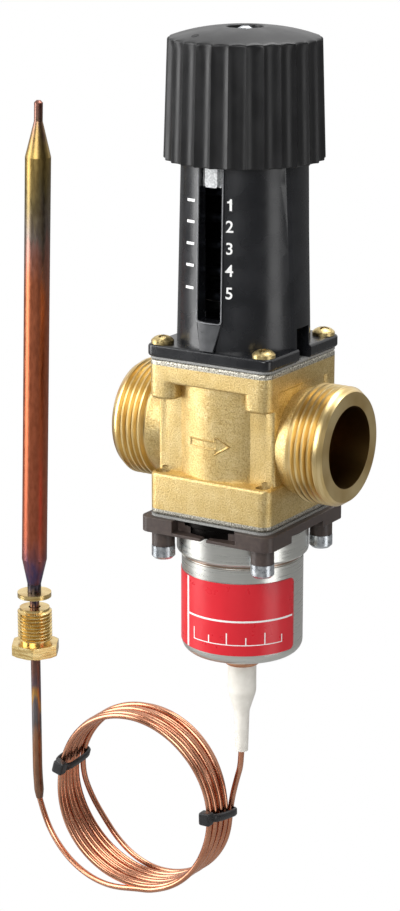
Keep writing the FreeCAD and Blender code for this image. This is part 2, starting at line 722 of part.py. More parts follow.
def ramp():
    """Sloped facet from the slot's lower end out to the foot."""
    item = doc.addObject("Part::Wedge", "ramp")
    inner = s.column_bore_radius
    bind(item, "Xmin", -s.ramp_foot_half_width)
    bind(item, "Xmax", s.ramp_foot_half_width)
    bind(item, "X2min", -s.ramp_half_width)
    bind(item, "X2max", s.ramp_half_width)
    bind(item, "Zmin", inner)
    bind(item, "Zmax", s.ramp_reach)
    bind(item, "Z2min", inner)
    bind(item, "Z2max", s.column_foot_radius - s.rib_rise)
    bind(item, "Ymin", 0.0)
    bind(item, "Ymax", s.slot_low - s.slot_rim - foot_top)
    item.Placement.Rotation = FreeCAD.Rotation(FreeCAD.Vector(1, 0, 0), 90)
    bind_place(item, 0.0, 0.0, foot_top)
    return item


def make_housing():
    """Moulded spring housing: square foot, tapered column with a framed slot, side strips, vents and a lid."""
    low = gasket_top
    top = s.column_top
    wide = s.housing_half_width
    solids = [slab(wide, wide, low, foot_top, s.foot_corner, s.foot_edge)]
    solids.append(column_cone(plain(0.0), low, top))
    frame_half = s.slot_half_width + s.slot_rim
    frame = box((-frame_half, frame_half), (-wide, 0.0), (s.slot_low - s.slot_rim, s.slot_high))
    solids.append(common(frame, column_cone(s.rib_rise, s.slot_low - s.slot_rim, s.slot_high)))
    solids += [pilaster(1, foot_top, s.slot_high), pilaster(-1, foot_top, s.slot_high), ramp()]
    holes = [cylinder(s.column_bore_radius, low, top - s.column_lid)]
    holes.append(cylinder(s.spindle_journal_radius + s.running_gap, top - s.column_lid, top))
    slot = box((-s.slot_half_width, s.slot_half_width), (-wide, 0.0), (s.slot_low, s.slot_high))
    holes.append(rounded_slot(slot))
    vent_top = foot_top + s.vent_height
    vent = (-s.vent_half_width, s.vent_half_width)
    reach = wide + s.pilaster_rise
    holes.append(box((s.column_bore_radius / 2, reach), vent, (low, vent_top)))
    holes.append(box((-reach, -s.column_bore_radius / 2), vent, (low, vent_top)))
    for x, y in corners():
        holes.append(cylinder(s.housing_screw_radius + s.screw_hole_slack, low, foot_top, x, y))
    finish(cut(fuse(solids), holes), "spring_housing")


def rounded_slot(slot):
    """Slot cutter with round corners at its lower end."""
    lowest = s.slot_low.value

    def picks(edge):
        points = [vertex.Point for vertex in edge.Vertexes]
        along = abs(points[0].y - points[-1].y) > 1e-6
        low = all(abs(point.z - lowest) < 1e-6 for point in points)
        return s.pointer_corner if along and low else None

    return rounded(slot, picks)


def screw(radius, head, head_height, length, seat, recess, x, y, flip):
    """One screw: its head stands on level seat, upwards if flip is 1, with a cross or hexagon recess."""
    edge = head_height / 5
    points = [(0.0, -length), (radius, -length), (radius, 0.0), (head, 0.0)]
    if recess == "cross":
        points += [(head, head_height - 3 * edge), (head / 3, head_height, -head)]
    else:
        points += [(head, head_height - edge), (head - edge, head_height)]
    points.append((0.0, head_height))
    sketch = doc.addObject("Sketcher::SketchObject", "screw_outline")
    sketch.Placement = FreeCAD.Placement(FreeCAD.Vector(), FreeCAD.Rotation(FreeCAD.Vector(1, 0, 0), 90))
    draw(sketch, points)
    turn = doc.addObject("Part::Revolution", "screw_turn")
    turn.Source = sketch
    turn.Axis = ABOUT_Z
    turn.Angle = FULL_TURN
    turn.Solid = True
    low, high = head_height / 2, head_height
    if recess == "cross":
        long_way, thin = head * 0.55, head * 0.12
        tools = [box((-long_way, long_way), (-thin, thin), (low, high))]
        tools.append(box((-thin, thin), (-long_way, long_way), (low, high)))
    else:
        tools = [hexagon(head / 2, low, high)]
    item = cut(turn, tools)
    if flip < 0:
        item.Placement.Rotation = FreeCAD.Rotation(FreeCAD.Vector(1, 0, 0), 180)
    bind_place(item, x, y, seat)
    return item


def hexagon(half_flats, low, high, turn=30.0):
    """Upright hexagonal prism, with a corner that is turned from +X: by default one points towards -Y."""
    item = doc.addObject("Part::Prism", "hexagon")
    item.Polygon = 6
    bind(item, "Circumradius", half_flats / math.cos(math.pi / 6))
    bind(item, "Height", high - low)
    item.Placement.Rotation = FreeCAD.Rotation(ABOUT_Z, turn)
    bind_place(item, 0.0, 0.0, low)
    return item


def make_screws():
    """Four screws through the housing's foot and four through the clamp's legs."""
    upper = [
        screw(
            s.housing_screw_radius, s.housing_screw_head, s.housing_screw_head_height,
            s.housing_screw_length, foot_top, "cross", x, y, 1,
        )
        for x, y in corners()
    ]
    finish(together(upper), "housing_screws")
    lower = [
        screw(
            s.clamp_screw_radius, s.clamp_screw_head, s.clamp_screw_head_height,
            s.clamp_screw_length, leg_low, "hexagon", x, y, -1,
        )
        for x, y in corners()
    ]
    finish(together(lower), "clamp_screws")


def make_knob():
    """Fluted cap with a domed top, a hub on the spindle, a screw shelf and an index dimple."""
    low, rim = s.knob_low, s.knob_rim
    inner_low = s.knob_low_radius - s.knob_wall
    inner_top = s.knob_top_radius - s.knob_wall
    hub_low = s.column_top + 6 * s.running_gap
    bore = s.spindle_radius + s.running_gap
    ceiling = rim - s.knob_roof
    points = [(inner_low, low), (s.knob_low_radius, low), (s.knob_top_radius, rim)]
    points += [(s.knob_hole_radius, s.knob_crown, -s.knob_dome_radius), (s.knob_hole_radius, shelf_level)]
    points += [(bore, shelf_level), (bore, hub_low), (s.knob_hub_radius, hub_low)]
    points += [(s.knob_hub_radius, ceiling), (inner_top, ceiling)]
    body = turned_body("SettingKnob", points)
    slope = math.degrees(math.atan2(s.knob_low_radius.value - s.knob_top_radius.value, rim.value - low.value))
    flute = body.newObject("PartDesign::SubtractiveCylinder", "Flute")
    flute.Placement.Rotation = FreeCAD.Rotation(ABOUT_Y, -slope)
    bind(flute, "Radius", s.flute_radius)
    bind(flute, "Height", (rim - low) * 1.2)
    lean = (s.knob_low_radius - s.knob_top_radius) / (rim - low)
    under = (rim - low) * 0.1
    bind_place(flute, s.knob_low_radius + lean * under + s.flute_radius - s.flute_depth, 0.0, low - under)
    doc.recompute()
    around = body.newObject("PartDesign::PolarPattern", "Flutes")
    around.Originals = [flute]
    around.Axis = (next(f for f in body.Origin.OriginFeatures if f.Role == "Z_Axis"), [""])
    around.Angle = FULL_TURN
    bind(around, "Occurrences", s.flute_count)
    body.Tip = around
    doc.recompute()
    flat = body.newObject("PartDesign::AdditiveBox", "DriveFlat")
    gap = s.running_gap
    bind(flat, "Length", s.knob_hub_radius - s.spindle_flat - s.drive_flat_set_back)
    bind(flat, "Width", s.spindle_radius)
    bind(flat, "Height", shelf_level - hub_low)
    bind_place(flat, s.spindle_flat + gap, -s.spindle_radius / 2, hub_low)
    doc.recompute()
    dot = body.newObject("PartDesign::SubtractiveCylinder", "IndexDimple")
    bind(dot, "Radius", s.knob_dot_radius)
    bind(dot, "Height", s.knob_crown - rim)
    way = math.radians(-112.0)
    bind_place(dot, s.knob_dot_place * math.cos(way), s.knob_dot_place * math.sin(way), rim + s.knob_dot_radius / 2)
    doc.recompute()
    finish(body, "setting_knob")
    finish(
        screw(
            s.knob_screw_radius, s.knob_screw_head, s.knob_screw_head_height,
            s.knob_screw_length, shelf_level, "cross", 0.0, 0.0, 1,
        ),
        "knob_screw", 0.0, shelf_level,
    )


def make_spindle():
    """Setting spindle: thread, thrust flange, journal and a flatted end with a tapped hole."""
    gap = s.running_gap
    lid = s.column_top - s.column_lid
    flange_top = lid - s.washer_thickness - 2 * gap
    flange_low = flange_top - s.spindle_flange_height
    top = shelf_level - 2 * gap
    hub_low = s.column_top + 6 * gap
    hole_low = shelf_level - s.knob_screw_length - gap
    points = [(0.0, s.spindle_low), (s.spindle_radius, s.spindle_low), (s.spindle_radius, flange_low)]
    points += [(s.spindle_flange_radius, flange_low), (s.spindle_flange_radius, flange_top)]
    points += [(s.spindle_journal_radius, flange_top), (s.spindle_journal_radius, s.column_top + 2 * gap)]
    points += [(s.spindle_radius, s.column_top + 2 * gap), (s.spindle_radius, top), (s.spindle_bore, top)]
    points += [(s.spindle_bore, hole_low), (0.0, hole_low)]
    body = turned_body("SettingSpindle", points)
    flat = body.newObject("PartDesign::SubtractiveBox", "SpindleFlat")
    bind(flat, "Length", s.spindle_radius)
    bind(flat, "Width", 2 * s.spindle_radius)
    bind(flat, "Height", top - hub_low + 2 * gap)
    bind_place(flat, s.spindle_flat, -s.spindle_radius, hub_low - 2 * gap)
    doc.recompute()
    finish(body, "setting_spindle")
    low = lid - s.washer_thickness - gap
    ring("ThrustWasher", "thrust_washer", s.spindle_journal_radius + 2 * gap, s.washer_radius, low, lid - gap)


def make_nut():
    """Setting nut: threaded web, skirt round the spring, guide lug in the slot and the pointer."""
    low, high = s.nut_low, s.nut_low + s.nut_height
    web = high - s.nut_web
    inner = s.nut_radius - s.nut_skirt
    bore = s.spindle_radius + s.running_gap
    points = [(inner, low), (s.nut_radius, low), (s.nut_radius, high), (bore, high), (bore, web), (inner, web)]
    body = turned_body("SettingNut", points)
    start = inner + s.nut_skirt / 2
    lug = body.newObject("PartDesign::AdditiveBox", "Lug")
    bind(lug, "Length", 2 * s.lug_half_width)
    bind(lug, "Width", s.lug_reach - start)
    bind(lug, "Height", s.nut_height)
    bind_place(lug, -s.lug_half_width, -s.lug_reach, low)
    doc.recompute()
    half, corner = s.pointer_half_width, s.pointer_corner
    tip = [(-half, high), (-half, low + corner), (corner - half, low, -corner), (half - corner, low)]
    tip += [(half, low + corner, -corner), (half, high)]
    sketch = new_sketch(body, "XZ_Plane", tip)
    bind(sketch, "AttachmentOffset.Base.z", start)
    pointer = body.newObject("PartDesign::Pad", "Pointer")
    pointer.Profile = sketch
    bind(pointer, "Length", s.pointer_reach - start)
    doc.recompute()
    finish(body, "setting_nut")


def make_spring():
    """Main spring: round wire wound between the spring plate and the setting nut."""
    body = doc.addObject("PartDesign::Body", "MainSpring")
    sketch = body.newObject("Sketcher::SketchObject", "spring_wire_outline")
    sketch.AttachmentSupport = [(plane_of(body, "XZ_Plane"), "")]
    sketch.MapMode = "FlatFace"
    start = plate_level + s.plate_thickness + s.spring_wire + s.running_gap
    end = s.nut_low + s.nut_height - s.nut_web - s.spring_wire - s.running_gap
    middle = FreeCAD.Vector(s.spring_radius.value, start.value, 0)
    sketch.addGeometry(Part.Circle(middle, FreeCAD.Vector(0, 0, 1), s.spring_wire.value), False)
    tie_point(sketch, 0, 3, s.spring_radius, start)
    rule = sketch.addConstraint(Sketcher.Constraint("Radius", 0, s.spring_wire.value))
    bind(sketch, f"Constraints[{rule}]", s.spring_wire)
    doc.recompute()
    coil = body.newObject("PartDesign::AdditiveHelix", "spring_winding")
    coil.Profile = sketch
    coil.ReferenceAxis = (sketch, ["V_Axis"])
    coil.Mode = 2
    bind(coil, "Height", end - start)
    bind(coil, "Turns", s.spring_turns)
    doc.recompute()
    finish(body, "main_spring")


def make_clamp():
    """Split lower clamp: two halves with recesses, corner legs and screw holes, gripping the collar's flange."""
    high, wide = -gasket_top, s.clamp_half_width
    halves = (("clamp_half_inlet", (-wide, -s.clamp_split)), ("clamp_half_outlet", (s.clamp_split, wide)))
    for label, span in halves:
        block = box((-wide, wide), (-wide, wide), (clamp_low, high))
        solids = [rounded(block, lambda edge: s.clamp_corner if is_upright(edge) else None)]
        tools = [cylinder(s.collar_radius + s.clamp_slack, clamp_low, high)]
        flange_low = high - s.collar_flange_height - s.running_gap
        tools.append(cylinder(s.collar_flange_radius + s.clamp_slack, flange_low, high))
        window = (-s.clamp_window_half, s.clamp_window_half)
        depth = s.collar_radius - s.clamp_lip
        for pair in ((-wide, -depth), (depth, wide)):
            tools.append(box(window, pair, (clamp_low + s.clamp_lip, high)))
            side = (-s.clamp_side_half, s.clamp_side_half)
            tools.append(box(pair, side, (clamp_low, clamp_low + s.clamp_side_height)))
        for x, y in corners():
            solids.append(cylinder(s.clamp_leg_radius, leg_low, clamp_low + s.clamp_lip, x, y))
            tools.append(cylinder(s.clamp_screw_radius + s.screw_hole_slack, leg_low, high, x, y))
        kept = box(span, (-wide, wide), (leg_low, high))
        finish(common(cut(fuse(solids), tools), kept), label)


def make_element():
    """Working element: collar, drawn can, printed label, folded bellows and the copper ferrule."""
    top = -gasket_top
    flange_low = top - s.collar_flange_height
    low = -s.collar_low
    hole = s.pin_radius + 6 * s.running_gap
    web = flange_low - s.collar_flange_height
    points = [(hole, top), (hole, web), (s.collar_bore_radius, web), (s.collar_bore_radius, low)]
    points += [(s.collar_low_radius, low), (s.collar_radius, low + s.collar_chamfer), (s.collar_radius, flange_low)]
    points += [(s.collar_flange_radius, flange_low), (s.collar_flange_radius, top)]
    turned_part("ElementCollar", "element_collar", points)
    outer, wall, corner = s.can_radius, s.can_wall, s.can_corner
    bottom = -s.can_low
    rim = s.collar_bore_radius - s.can_slack
    rim_top = low + s.can_rim_height
    step = low - s.can_slack
    points = [(0.0, bottom), (outer - corner, bottom), (outer, bottom + corner, -corner), (outer, step)]
    points += [(rim, step), (rim, rim_top), (rim - wall, rim_top), (rim - wall, step - wall)]
    points += [(outer - wall, step - wall), (outer - wall, bottom + corner)]
    points += [(outer - corner, bottom + wall, corner - wall), (0.0, bottom + wall)]
    turned_part("ElementCan", "element_can", points)
    make_label()
    make_bellows(web)
    ring_points = [(0.0, -s.ferrule_low), (s.ferrule_radius, -s.ferrule_low)]
    ring_points += [(s.ferrule_radius, bottom), (0.0, bottom)]
    turned_part("Ferrule", "capillary_ferrule", ring_points)


def make_label():
    """Printed label: a thin skin part of the way round the can."""
    body = doc.addObject("PartDesign::Body", "ElementLabel")
    inner = s.can_radius + s.label_gap
    outer = inner + s.label_thickness
    points = [(inner, -s.label_low), (outer, -s.label_low), (outer, -s.label_high), (inner, -s.label_high)]
    sketch = new_sketch(body, "XZ_Plane", points)
    turn = body.newObject("PartDesign::Revolution", "label_turn")
    turn.Profile = sketch
    turn.ReferenceAxis = (sketch, ["V_Axis"])
    bind(turn, "Angle", s.label_end - s.label_start)
    doc.recompute()
    finish(body, "element_label")
    body.Placement.Rotation = FreeCAD.Rotation(ABOUT_Z, label_turn_back(body))


def label_turn_back(body):
    """Angle that brings the label's middle to its place, whichever way the turn ran."""
    middle = body.Shape.CenterOfMass
    local = math.degrees(math.atan2(middle.y, middle.x - body.Placement.Base.x))
    wanted = (s.label_start.value + s.label_end.value) / 2 - 90.0
    return wanted - local


def make_bellows(top):
    """Folded bellows, open to the stem above and closed by an end plate below."""
    folds = s.bellows_folds
    low = -s.bellows_low
    first = low + s.bellows_end
    step = (top - s.running_gap - first) / folds
    wall = s.bellows_wall
    outside, inside = [], []
    for i in range(int(folds.value)):
        here = first + step * i
        outside += [(s.bellows_neck + wall, here), (s.bellows_radius, here + step / 2)]
        inside += [(s.bellows_neck, here), (s.bellows_radius - wall, here + step / 2)]
    end = top - s.running_gap
    outside.append((s.bellows_neck + wall, end))
    inside.append((s.bellows_neck, end))
    points = [(0.0, low), (s.bellows_neck + wall, low)] + outside + inside[::-1] + [(0.0, first)]
    turned_part("Bellows", "bellows", points)


def make_boot():
    """White strain-relief sleeve under the ferrule, with a socket for the capillary."""
    socket = -s.boot_low + s.boot_socket
    hole = s.capillary_radius + s.running_gap
    points = [(0.0, socket), (hole, socket), (hole, -s.boot_low), (s.boot_end_radius, -s.boot_low)]
    points += [(s.boot_neck_radius, -s.boot_neck), (s.boot_radius, -s.boot_shoulder)]
    points += [(s.boot_radius, -s.ferrule_low), (0.0, -s.ferrule_low)]
    turned_part("Boot", "strain_relief_boot", points)


def route_wire(route):
    """Wire of straight runs joined by the largest tangent arcs that the runs allow, with the arcs' radii."""
    points = [FreeCAD.Vector(*point) for point in route]
    edges, radii = [], []
    start = points[0]
    for before, here, after in zip(points, points[1:], points[2:]):
        back, on = before - here, after - here
        reach = 0.45 * min(back.Length, on.Length)
        half_turn = (math.pi - back.getAngle(on)) / 2
        radius = reach / math.tan(half_turn)
        first = here + back.normalize() * reach
        last = here + on.normalize() * reach
        inward = (back + on).normalize()
        middle = here + inward * (radius / math.cos(half_turn) - radius)
        edges.append(Part.LineSegment(start, first).toShape())
        edges.append(Part.Arc(first, middle, last).toShape())
        radii.append(radius)
        start = last
    edges.append(Part.LineSegment(start, points[-1]).toShape())
    return Part.Wire(edges), radii


def tube_along(route, radius):
    """Solid round rod along a route."""
    wire, radii = route_wire(route)
    first = wire.Edges[0]
    along = first.tangentAt(first.FirstParameter)
    profile = Part.Wire(Part.Circle(wire.Vertexes[0].Point, along, radius).toShape())
    solid = wire.makePipeShell([profile], True, False)
    expected = math.pi * radius * radius * wire.Length
    print("bend radii", [round(bend, 1) for bend in radii], "length", round(wire.Length, 1))
    print("volume over section times length", round(solid.Volume / expected, 5))
    return solid


def feature(label, shape, x=0.0, z=0.0):
    """Sub-part whose shape is worked out above from the sheet's values."""
    item = doc.addObject("Part::Feature", label.title().replace("_", ""))
    item.Shape = shape
    return finish(item, label, x, z)


def make_capillary():
    """Capillary runs, the coil's outer shape and the two ties that hold it."""
    feature("capillary_lead", tube_along(LEAD_ROUTE, s.capillary_radius.value))
    feature("capillary_tail", tube_along(TAIL_ROUTE, s.capillary_radius.value))
    body = doc.addObject("PartDesign::Body", "CapillaryCoil")
    wide, deep, middle = s.coil_half_width, s.coil_half_depth, s.coil_radius
    inner, outer = middle - wide, middle + wide
    flat = deep - wide
    points = [(outer, -flat, -wide), (outer, flat), (middle, deep, -wide)]
    points += [(inner, flat, -wide), (inner, -flat), (middle, -deep, -wide)]
    sketch = new_sketch(body, "XZ_Plane", points)
    turn = body.newObject("PartDesign::Revolution", "coil_turn")
    turn.Profile = sketch
    turn.ReferenceAxis = (sketch, ["V_Axis"])
    turn.Angle = FULL_TURN
    doc.recompute()
    body.Placement.Rotation = FreeCAD.Rotation(FreeCAD.Vector(1, 0, 0), 90)
    finish(body, "capillary_coil", s.coil_x, s.coil_z)
    for label, angle in TIES:
        make_tie(label, angle)


def make_tie(label, angle):
    """Tie: a band round the bundle with a head on its front."""
    wide = s.coil_half_width + s.tie_slack
    deep = s.coil_half_depth + s.tie_slack
    thick = s.tie_thickness
    half = s.tie_width / 2
    middle = s.coil_radius
    span = (-half, half)
    outside = box((middle - wide - thick, middle + wide + thick), (-deep - thick, deep + thick), span)
    inside = box((middle - wide, middle + wide), (-deep, deep), span)
    band = cut(round_along(outside, wide), [round_along(inside, wide - thick)])
    front = -deep - thick / 2
    head_half = s.tie_head / 2
    around = (-head_half, head_half)
    head = box((middle - head_half, middle + head_half), (front - s.tie_head_rise, front), around)
    item = fuse([band, head])
    item.Placement.Rotation = FreeCAD.Rotation(ABOUT_Y, -angle)
    finish(item, label, s.coil_x, s.coil_z)


def round_along(block, radius):
    """Block with its upright edges rounded."""
    return rounded(block, lambda edge: radius if is_upright(edge) else None)


def make_sensor():
    """Stem tube with its crimped end, neck sleeve, sensor, and the gland with its packing and washer."""
    top = -s.neck_low.value
    bend_z, end_x, end_z = s.tube_bend_z.value, s.tube_end_x.value, s.tube_end_z.value
    place = s.sensor_x.value
    tube = tube_along([(place, 0.0, top), (place, 0.0, bend_z), (end_x, 0.0, end_z)], s.tube_radius.value)
    along = FreeCAD.Vector(end_x - place, 0, end_z - bend_z).normalize()
    end = FreeCAD.Vector(end_x, 0, end_z)
    crimp = Part.makeCone(s.tube_radius.value, s.crimp_radius.value, s.crimp_length.value, end, along)
    feature("stem_tube", tube.fuse(crimp).removeSplitter())
    neck = [(0.0, -s.neck_low), (s.neck_radius, -s.neck_low), (s.neck_radius, -s.neck_top), (0.0, -s.neck_top)]
    turned_part("NeckSleeve", "neck_sleeve", neck, s.sensor_x)
    cylinder_low = s.sensor_taper
    cylinder_high = cylinder_low + s.sensor_body
    cone_high = cylinder_high + s.sensor_shoulder
    tip = cone_high + s.nipple_length
    round_tip = s.nipple_radius / 2
    points = [(0.0, 0.0), (s.neck_radius, 0.0), (s.sensor_radius, cylinder_low), (s.sensor_radius, cylinder_high)]
    points += [(s.nipple_radius, cone_high), (s.nipple_radius, tip - round_tip), (round_tip, tip), (0.0, tip)]
    body = turned_body("SensorBulb", points)
    body.Placement.Rotation = FreeCAD.Rotation(ABOUT_Y, s.sensor_lean.value)
    finish(body, "sensor_bulb", s.sensor_x, -s.neck_top + 2 * s.running_gap)
    make_gland()


def make_gland():
    """Gland nut with its thread and hexagon, packing ring inside and washer above."""
    top = -s.gland_top
    thread_top = top - s.gland_lead
    thread_low = thread_top - s.gland_thread_pitch * s.gland_thread_count.value
    ridges = thread_points(
        thread_low, s.gland_thread_pitch, s.gland_thread_count,
        s.gland_thread_radius, s.gland_thread_depth, s.gland_thread_crest,
    )
    hex_top = thread_low - s.gland_lead
    hex_low = hex_top - s.gland_hex_height
    root = s.gland_thread_radius - s.gland_thread_depth
    hole = s.gland_hole_radius
    pack_low = hex_low + s.packing_depth
    pack_high = pack_low + s.packing_height
    points = [(hole, hex_low), (root, hex_low), (root, thread_low)] + ridges[1:] + [(root, top), (hole, top)]
    points += [(hole, pack_high), (s.packing_radius, pack_high), (s.packing_radius, pack_low), (hole, pack_low)]
    stem = turned_body("GlandStem", points)
    prism = hexagon(s.gland_hex_half, hex_low, hex_top, turn=0.0)
    head = cut(prism, [cylinder(root - s.gland_lead / 2, hex_low, hex_top)])
    edge = cone_ring(hex_low, hex_top)
    finish(fuse([stem, common(head, edge)]), "gland_nut", s.sensor_x)
    gap = s.running_gap
    ring(
        "GlandPacking", "gland_packing", s.tube_radius + gap, s.packing_radius - gap,
        pack_low + gap, pack_high - gap, s.sensor_x,
    )
    washer_top = -s.gland_washer_top
    ring(
        "GlandWasher", "gland_washer", s.neck_radius + gap, s.gland_washer_radius,
        washer_top - s.gland_washer_thickness, washer_top, s.sensor_x,
    )


def cone_ring(low, high):
    """Turned outline that chamfers the hexagon's corners at both ends."""
    full = s.gland_hex_half / math.cos(math.pi / 6)
    bevel = s.gland_lead / 2
    points = [(0.0, low), (full - 2 * bevel, low), (full, low + bevel), (full, high - bevel)]
    points += [(full - 2 * bevel, high), (0.0, high)]
    return turned_body("HexagonBevel", points)


def check_and_write():
    """Stop on any failed object or bad shape, then write one file for each sub-part."""
    doc.recompute()
    failed = [item.Name for item in doc.Objects if "Invalid" in item.State or "Error" in item.State]
    if failed:
        raise RuntimeError(f"failed objects: {failed}")
    for item in finished:
        if item.Shape.isNull() or not item.Shape.isValid():
            raise RuntimeError(f"bad shape: {item.Label}")
        if not item.Shape.Solids:
            raise RuntimeError(f"no solid: {item.Label}")
    os.makedirs("parts", exist_ok=True)
    for item in finished:
        item.Shape.exportStep(f"parts/{item.Label}.step")
        print(item.Label, len(item.Shape.Solids), round(item.Shape.Volume, 1))


make_valve_body()
make_seat()
make_stem_group()
make_guide("UpperGuide", "upper_guide", "upper_o_ring", 1)
make_guide("LowerGuide", "lower_guide", "lower_o_ring", -1)
make_gasket("upper_gasket", s.body_half_height)
make_gasket("lower_gasket", -gasket_top)
make_housing()
make_screws()
make_knob()
make_spindle()
make_nut()
make_spring()
make_clamp()
make_element()
make_boot()
make_capillary()
make_sensor()
check_and_write()
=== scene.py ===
"""Looks of a self-acting temperature control valve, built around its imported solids.

Lengths are in metres, in the frame of the solids: the origin is the centre of the inlet port's end face,
+X runs along the flow and +Z runs up the stem. Sizes in millimetres are multiplied by MM.
"""
import math

import bmesh
import bpy
import numpy as np
from mathutils import Matrix, Vector


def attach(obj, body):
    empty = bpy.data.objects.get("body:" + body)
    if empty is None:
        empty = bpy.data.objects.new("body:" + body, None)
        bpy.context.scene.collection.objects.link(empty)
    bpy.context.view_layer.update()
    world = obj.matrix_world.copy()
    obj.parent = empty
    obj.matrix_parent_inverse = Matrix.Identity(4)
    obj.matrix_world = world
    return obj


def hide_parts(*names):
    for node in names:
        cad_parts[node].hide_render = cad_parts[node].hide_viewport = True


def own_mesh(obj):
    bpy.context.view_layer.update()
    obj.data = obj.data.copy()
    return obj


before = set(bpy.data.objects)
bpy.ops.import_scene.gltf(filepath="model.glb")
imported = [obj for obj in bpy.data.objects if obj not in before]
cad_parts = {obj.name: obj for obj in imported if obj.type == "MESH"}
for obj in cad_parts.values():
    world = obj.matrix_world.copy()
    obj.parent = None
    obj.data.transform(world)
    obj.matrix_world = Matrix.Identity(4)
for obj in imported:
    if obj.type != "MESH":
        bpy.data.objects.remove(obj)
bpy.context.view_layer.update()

bl_info = {
    "name": "Temperature control valve",
    "version": (1, 0, 0),
    "blender": (4, 5, 0),
    "location": "3D View > Sidebar > Valve",
    "description": "Builds the visible surfaces of a self-acting temperature control valve",
    "category": "Object",
}

MM = 0.001
STEM_X = 42.9
FULL = 2.0 * math.pi
# Range that holds most values of a noise texture
MOST_NOISE = (0.3, 0.7)

# Route of the capillary, in millimetres from the origin: sleeve to coil, and coil to stem tube
LEAD_ROUTE = [
    (42.9, 0.0, -112.2), (42.9, 0.0, -126.0), (39.5, 2.5, -133.6),
    (35.9, 5.4, -142.0), (34.1, 6.8, -148.2),
]
TAIL_ROUTE = [
    (0.9, -6.9, -184.4), (-9.3, -6.9, -186.3), (-17.9, -6.3, -186.0), (-26.1, -5.0, -184.2),
    (-34.3, -3.3, -180.6), (-41.7, -1.6, -174.6), (-46.5, -0.4, -167.6), (-48.88, 0.0, -161.1),
]
COIL_MIDDLE = (-0.5, -149.1)
COIL_RADIUS = 34.2
# Ties: name, angle round the coil from +X towards +Z, how far the back lies along the bundle from the front,
# how far the band lies outside the middle of the bundle, and half of its width in the coil's plane
TIES = [("cable_tie_upper", 165.0, -1.6, -0.8, 2.9), ("cable_tie_lower", 1.0, -2.8, 0.3, 2.45)]

# Tapered column of the spring housing: level and radius at its foot and at its head
COLUMN_FOOT = (33.2, 23.33)
COLUMN_HEAD = (124.0, 21.25)

# Camera from the photograph: azimuth, elevation, distance from the body's middle, and the frame in pixels
CAMERA_AZIMUTH = 31.271
CAMERA_ELEVATION = 15.084
CAMERA_DISTANCE = 893.877
FOCAL_PIXELS = 2531.345
FRAME_PIXELS = (400.0, 911.0)
MIDDLE_PIXEL = (243.091, 429.987)
SENSOR_MM = 36.0


def linear(code):
    """Linear RGBA of an sRGB hex colour."""
    channels = [int(code[i:i + 2], 16) / 255.0 for i in (1, 3, 5)]
    flat = [c / 12.92 if c <= 0.04045 else ((c + 0.055) / 1.055) ** 2.4 for c in channels]
    return (*flat, 1.0)


def length_setting(name, description, usual, low, high):
    """Length that a user would change, from millimetres."""
    return bpy.props.FloatProperty(
        name=name, description=description, default=usual * MM, min=low * MM, max=high * MM,
        unit="LENGTH", precision=5,
    )


class ValveSizes(bpy.types.PropertyGroup):
    """Sizes that a user would change."""

    edge: length_setting(
        "Edge softness", "Width of the soft edge on moulded and pressed pieces", 0.45, 0.0, 1.0,
    )
    turned_edge: length_setting("Turned edge", "Width of the soft edge on screws", 0.16, 0.0, 0.5)
    coil_turns: bpy.props.IntProperty(
        name="Coil turns", description="Whole turns of the capillary's coil", default=7, min=2, max=9,
    )
    coil_depth: length_setting(
        "Coil depth", "From the middle of the coil to its first and its last turn", 8.7, 4.0, 9.0,
    )
    numeral_height: length_setting("Numeral height", "Height of the numbers on the scale", 4.0, 1.0, 8.0)


def colour_setting(name, description, code):
    """Colour that a user would change, from a hex colour."""
    return bpy.props.FloatVectorProperty(
        name=name, description=description, subtype="COLOR", default=linear(code)[:3], min=0.0, max=1.0,
    )


class ValveColours(bpy.types.PropertyGroup):
    """Colours that a user would change."""

    knob: colour_setting("Knob", "Colour of the setting knob", "#171718")
    housing: colour_setting("Housing", "Colour of the spring housing", "#18191c")
    label: colour_setting("Label", "Colour of the label round the can", "#d4202d")


# Shapes


def closed_grid(rows, columns, close_rows):
    """Quads of a grid whose columns run round a closed turn; its rows close too where close_rows is true."""
    i = np.arange(rows if close_rows else rows - 1)
    j = np.arange(columns)
    a, b = np.meshgrid(i, j, indexing="ij")
    after_a, after_b = (a + 1) % rows, (b + 1) % columns
    corners = [a * columns + b, a * columns + after_b, after_a * columns + after_b, after_a * columns + b]
    return np.stack(corners, axis=-1).reshape(-1, 4)


def open_grid(rows, columns):
    """Quads of a grid with four free edges."""
    a, b = np.meshgrid(np.arange(rows - 1), np.arange(columns - 1), indexing="ij")
    corners = [a * columns + b, a * columns + b + 1, (a + 1) * columns + b + 1, (a + 1) * columns + b]
    return np.stack(corners, axis=-1).reshape(-1, 4)


def put_object(name, data):
    """New object from its data, in the scene."""
    item = bpy.data.objects.new(name, data)
    bpy.context.scene.collection.objects.link(item)
    return item


def put_mesh(name, points, faces, sharp=40.0, outward=True):
    """Object from points in metres and faces, smooth except where it turns by more than sharp degrees."""
    mesh = bpy.data.meshes.new(name)
    mesh.from_pydata(np.asarray(points, float).reshape(-1, 3).tolist(), [], np.asarray(faces).tolist())
    work = bmesh.new()
    work.from_mesh(mesh)
    bmesh.ops.remove_doubles(work, verts=work.verts, dist=1e-7)
    if outward:
        bmesh.ops.recalc_face_normals(work, faces=work.faces)
    work.to_mesh(mesh)
    work.free()
    shade(mesh, sharp)
    return put_object(name, mesh)


def shade(mesh, sharp):
    """Smooth shading with sharp edges past an angle in degrees."""
    mesh.polygons.foreach_set("use_smooth", np.ones(len(mesh.polygons), bool))
    mesh.set_sharp_from_angle(angle=math.radians(sharp))


def dress(item, slot, finish, *nodes, body="valve"):
    """Give a piece its finish and its body, and hide the solids that it stands for; slot is not used."""
    item.data.materials.clear()
    item.data.materials.append(finishes[finish])
    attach(item, body)
    if nodes:
        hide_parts(*nodes)


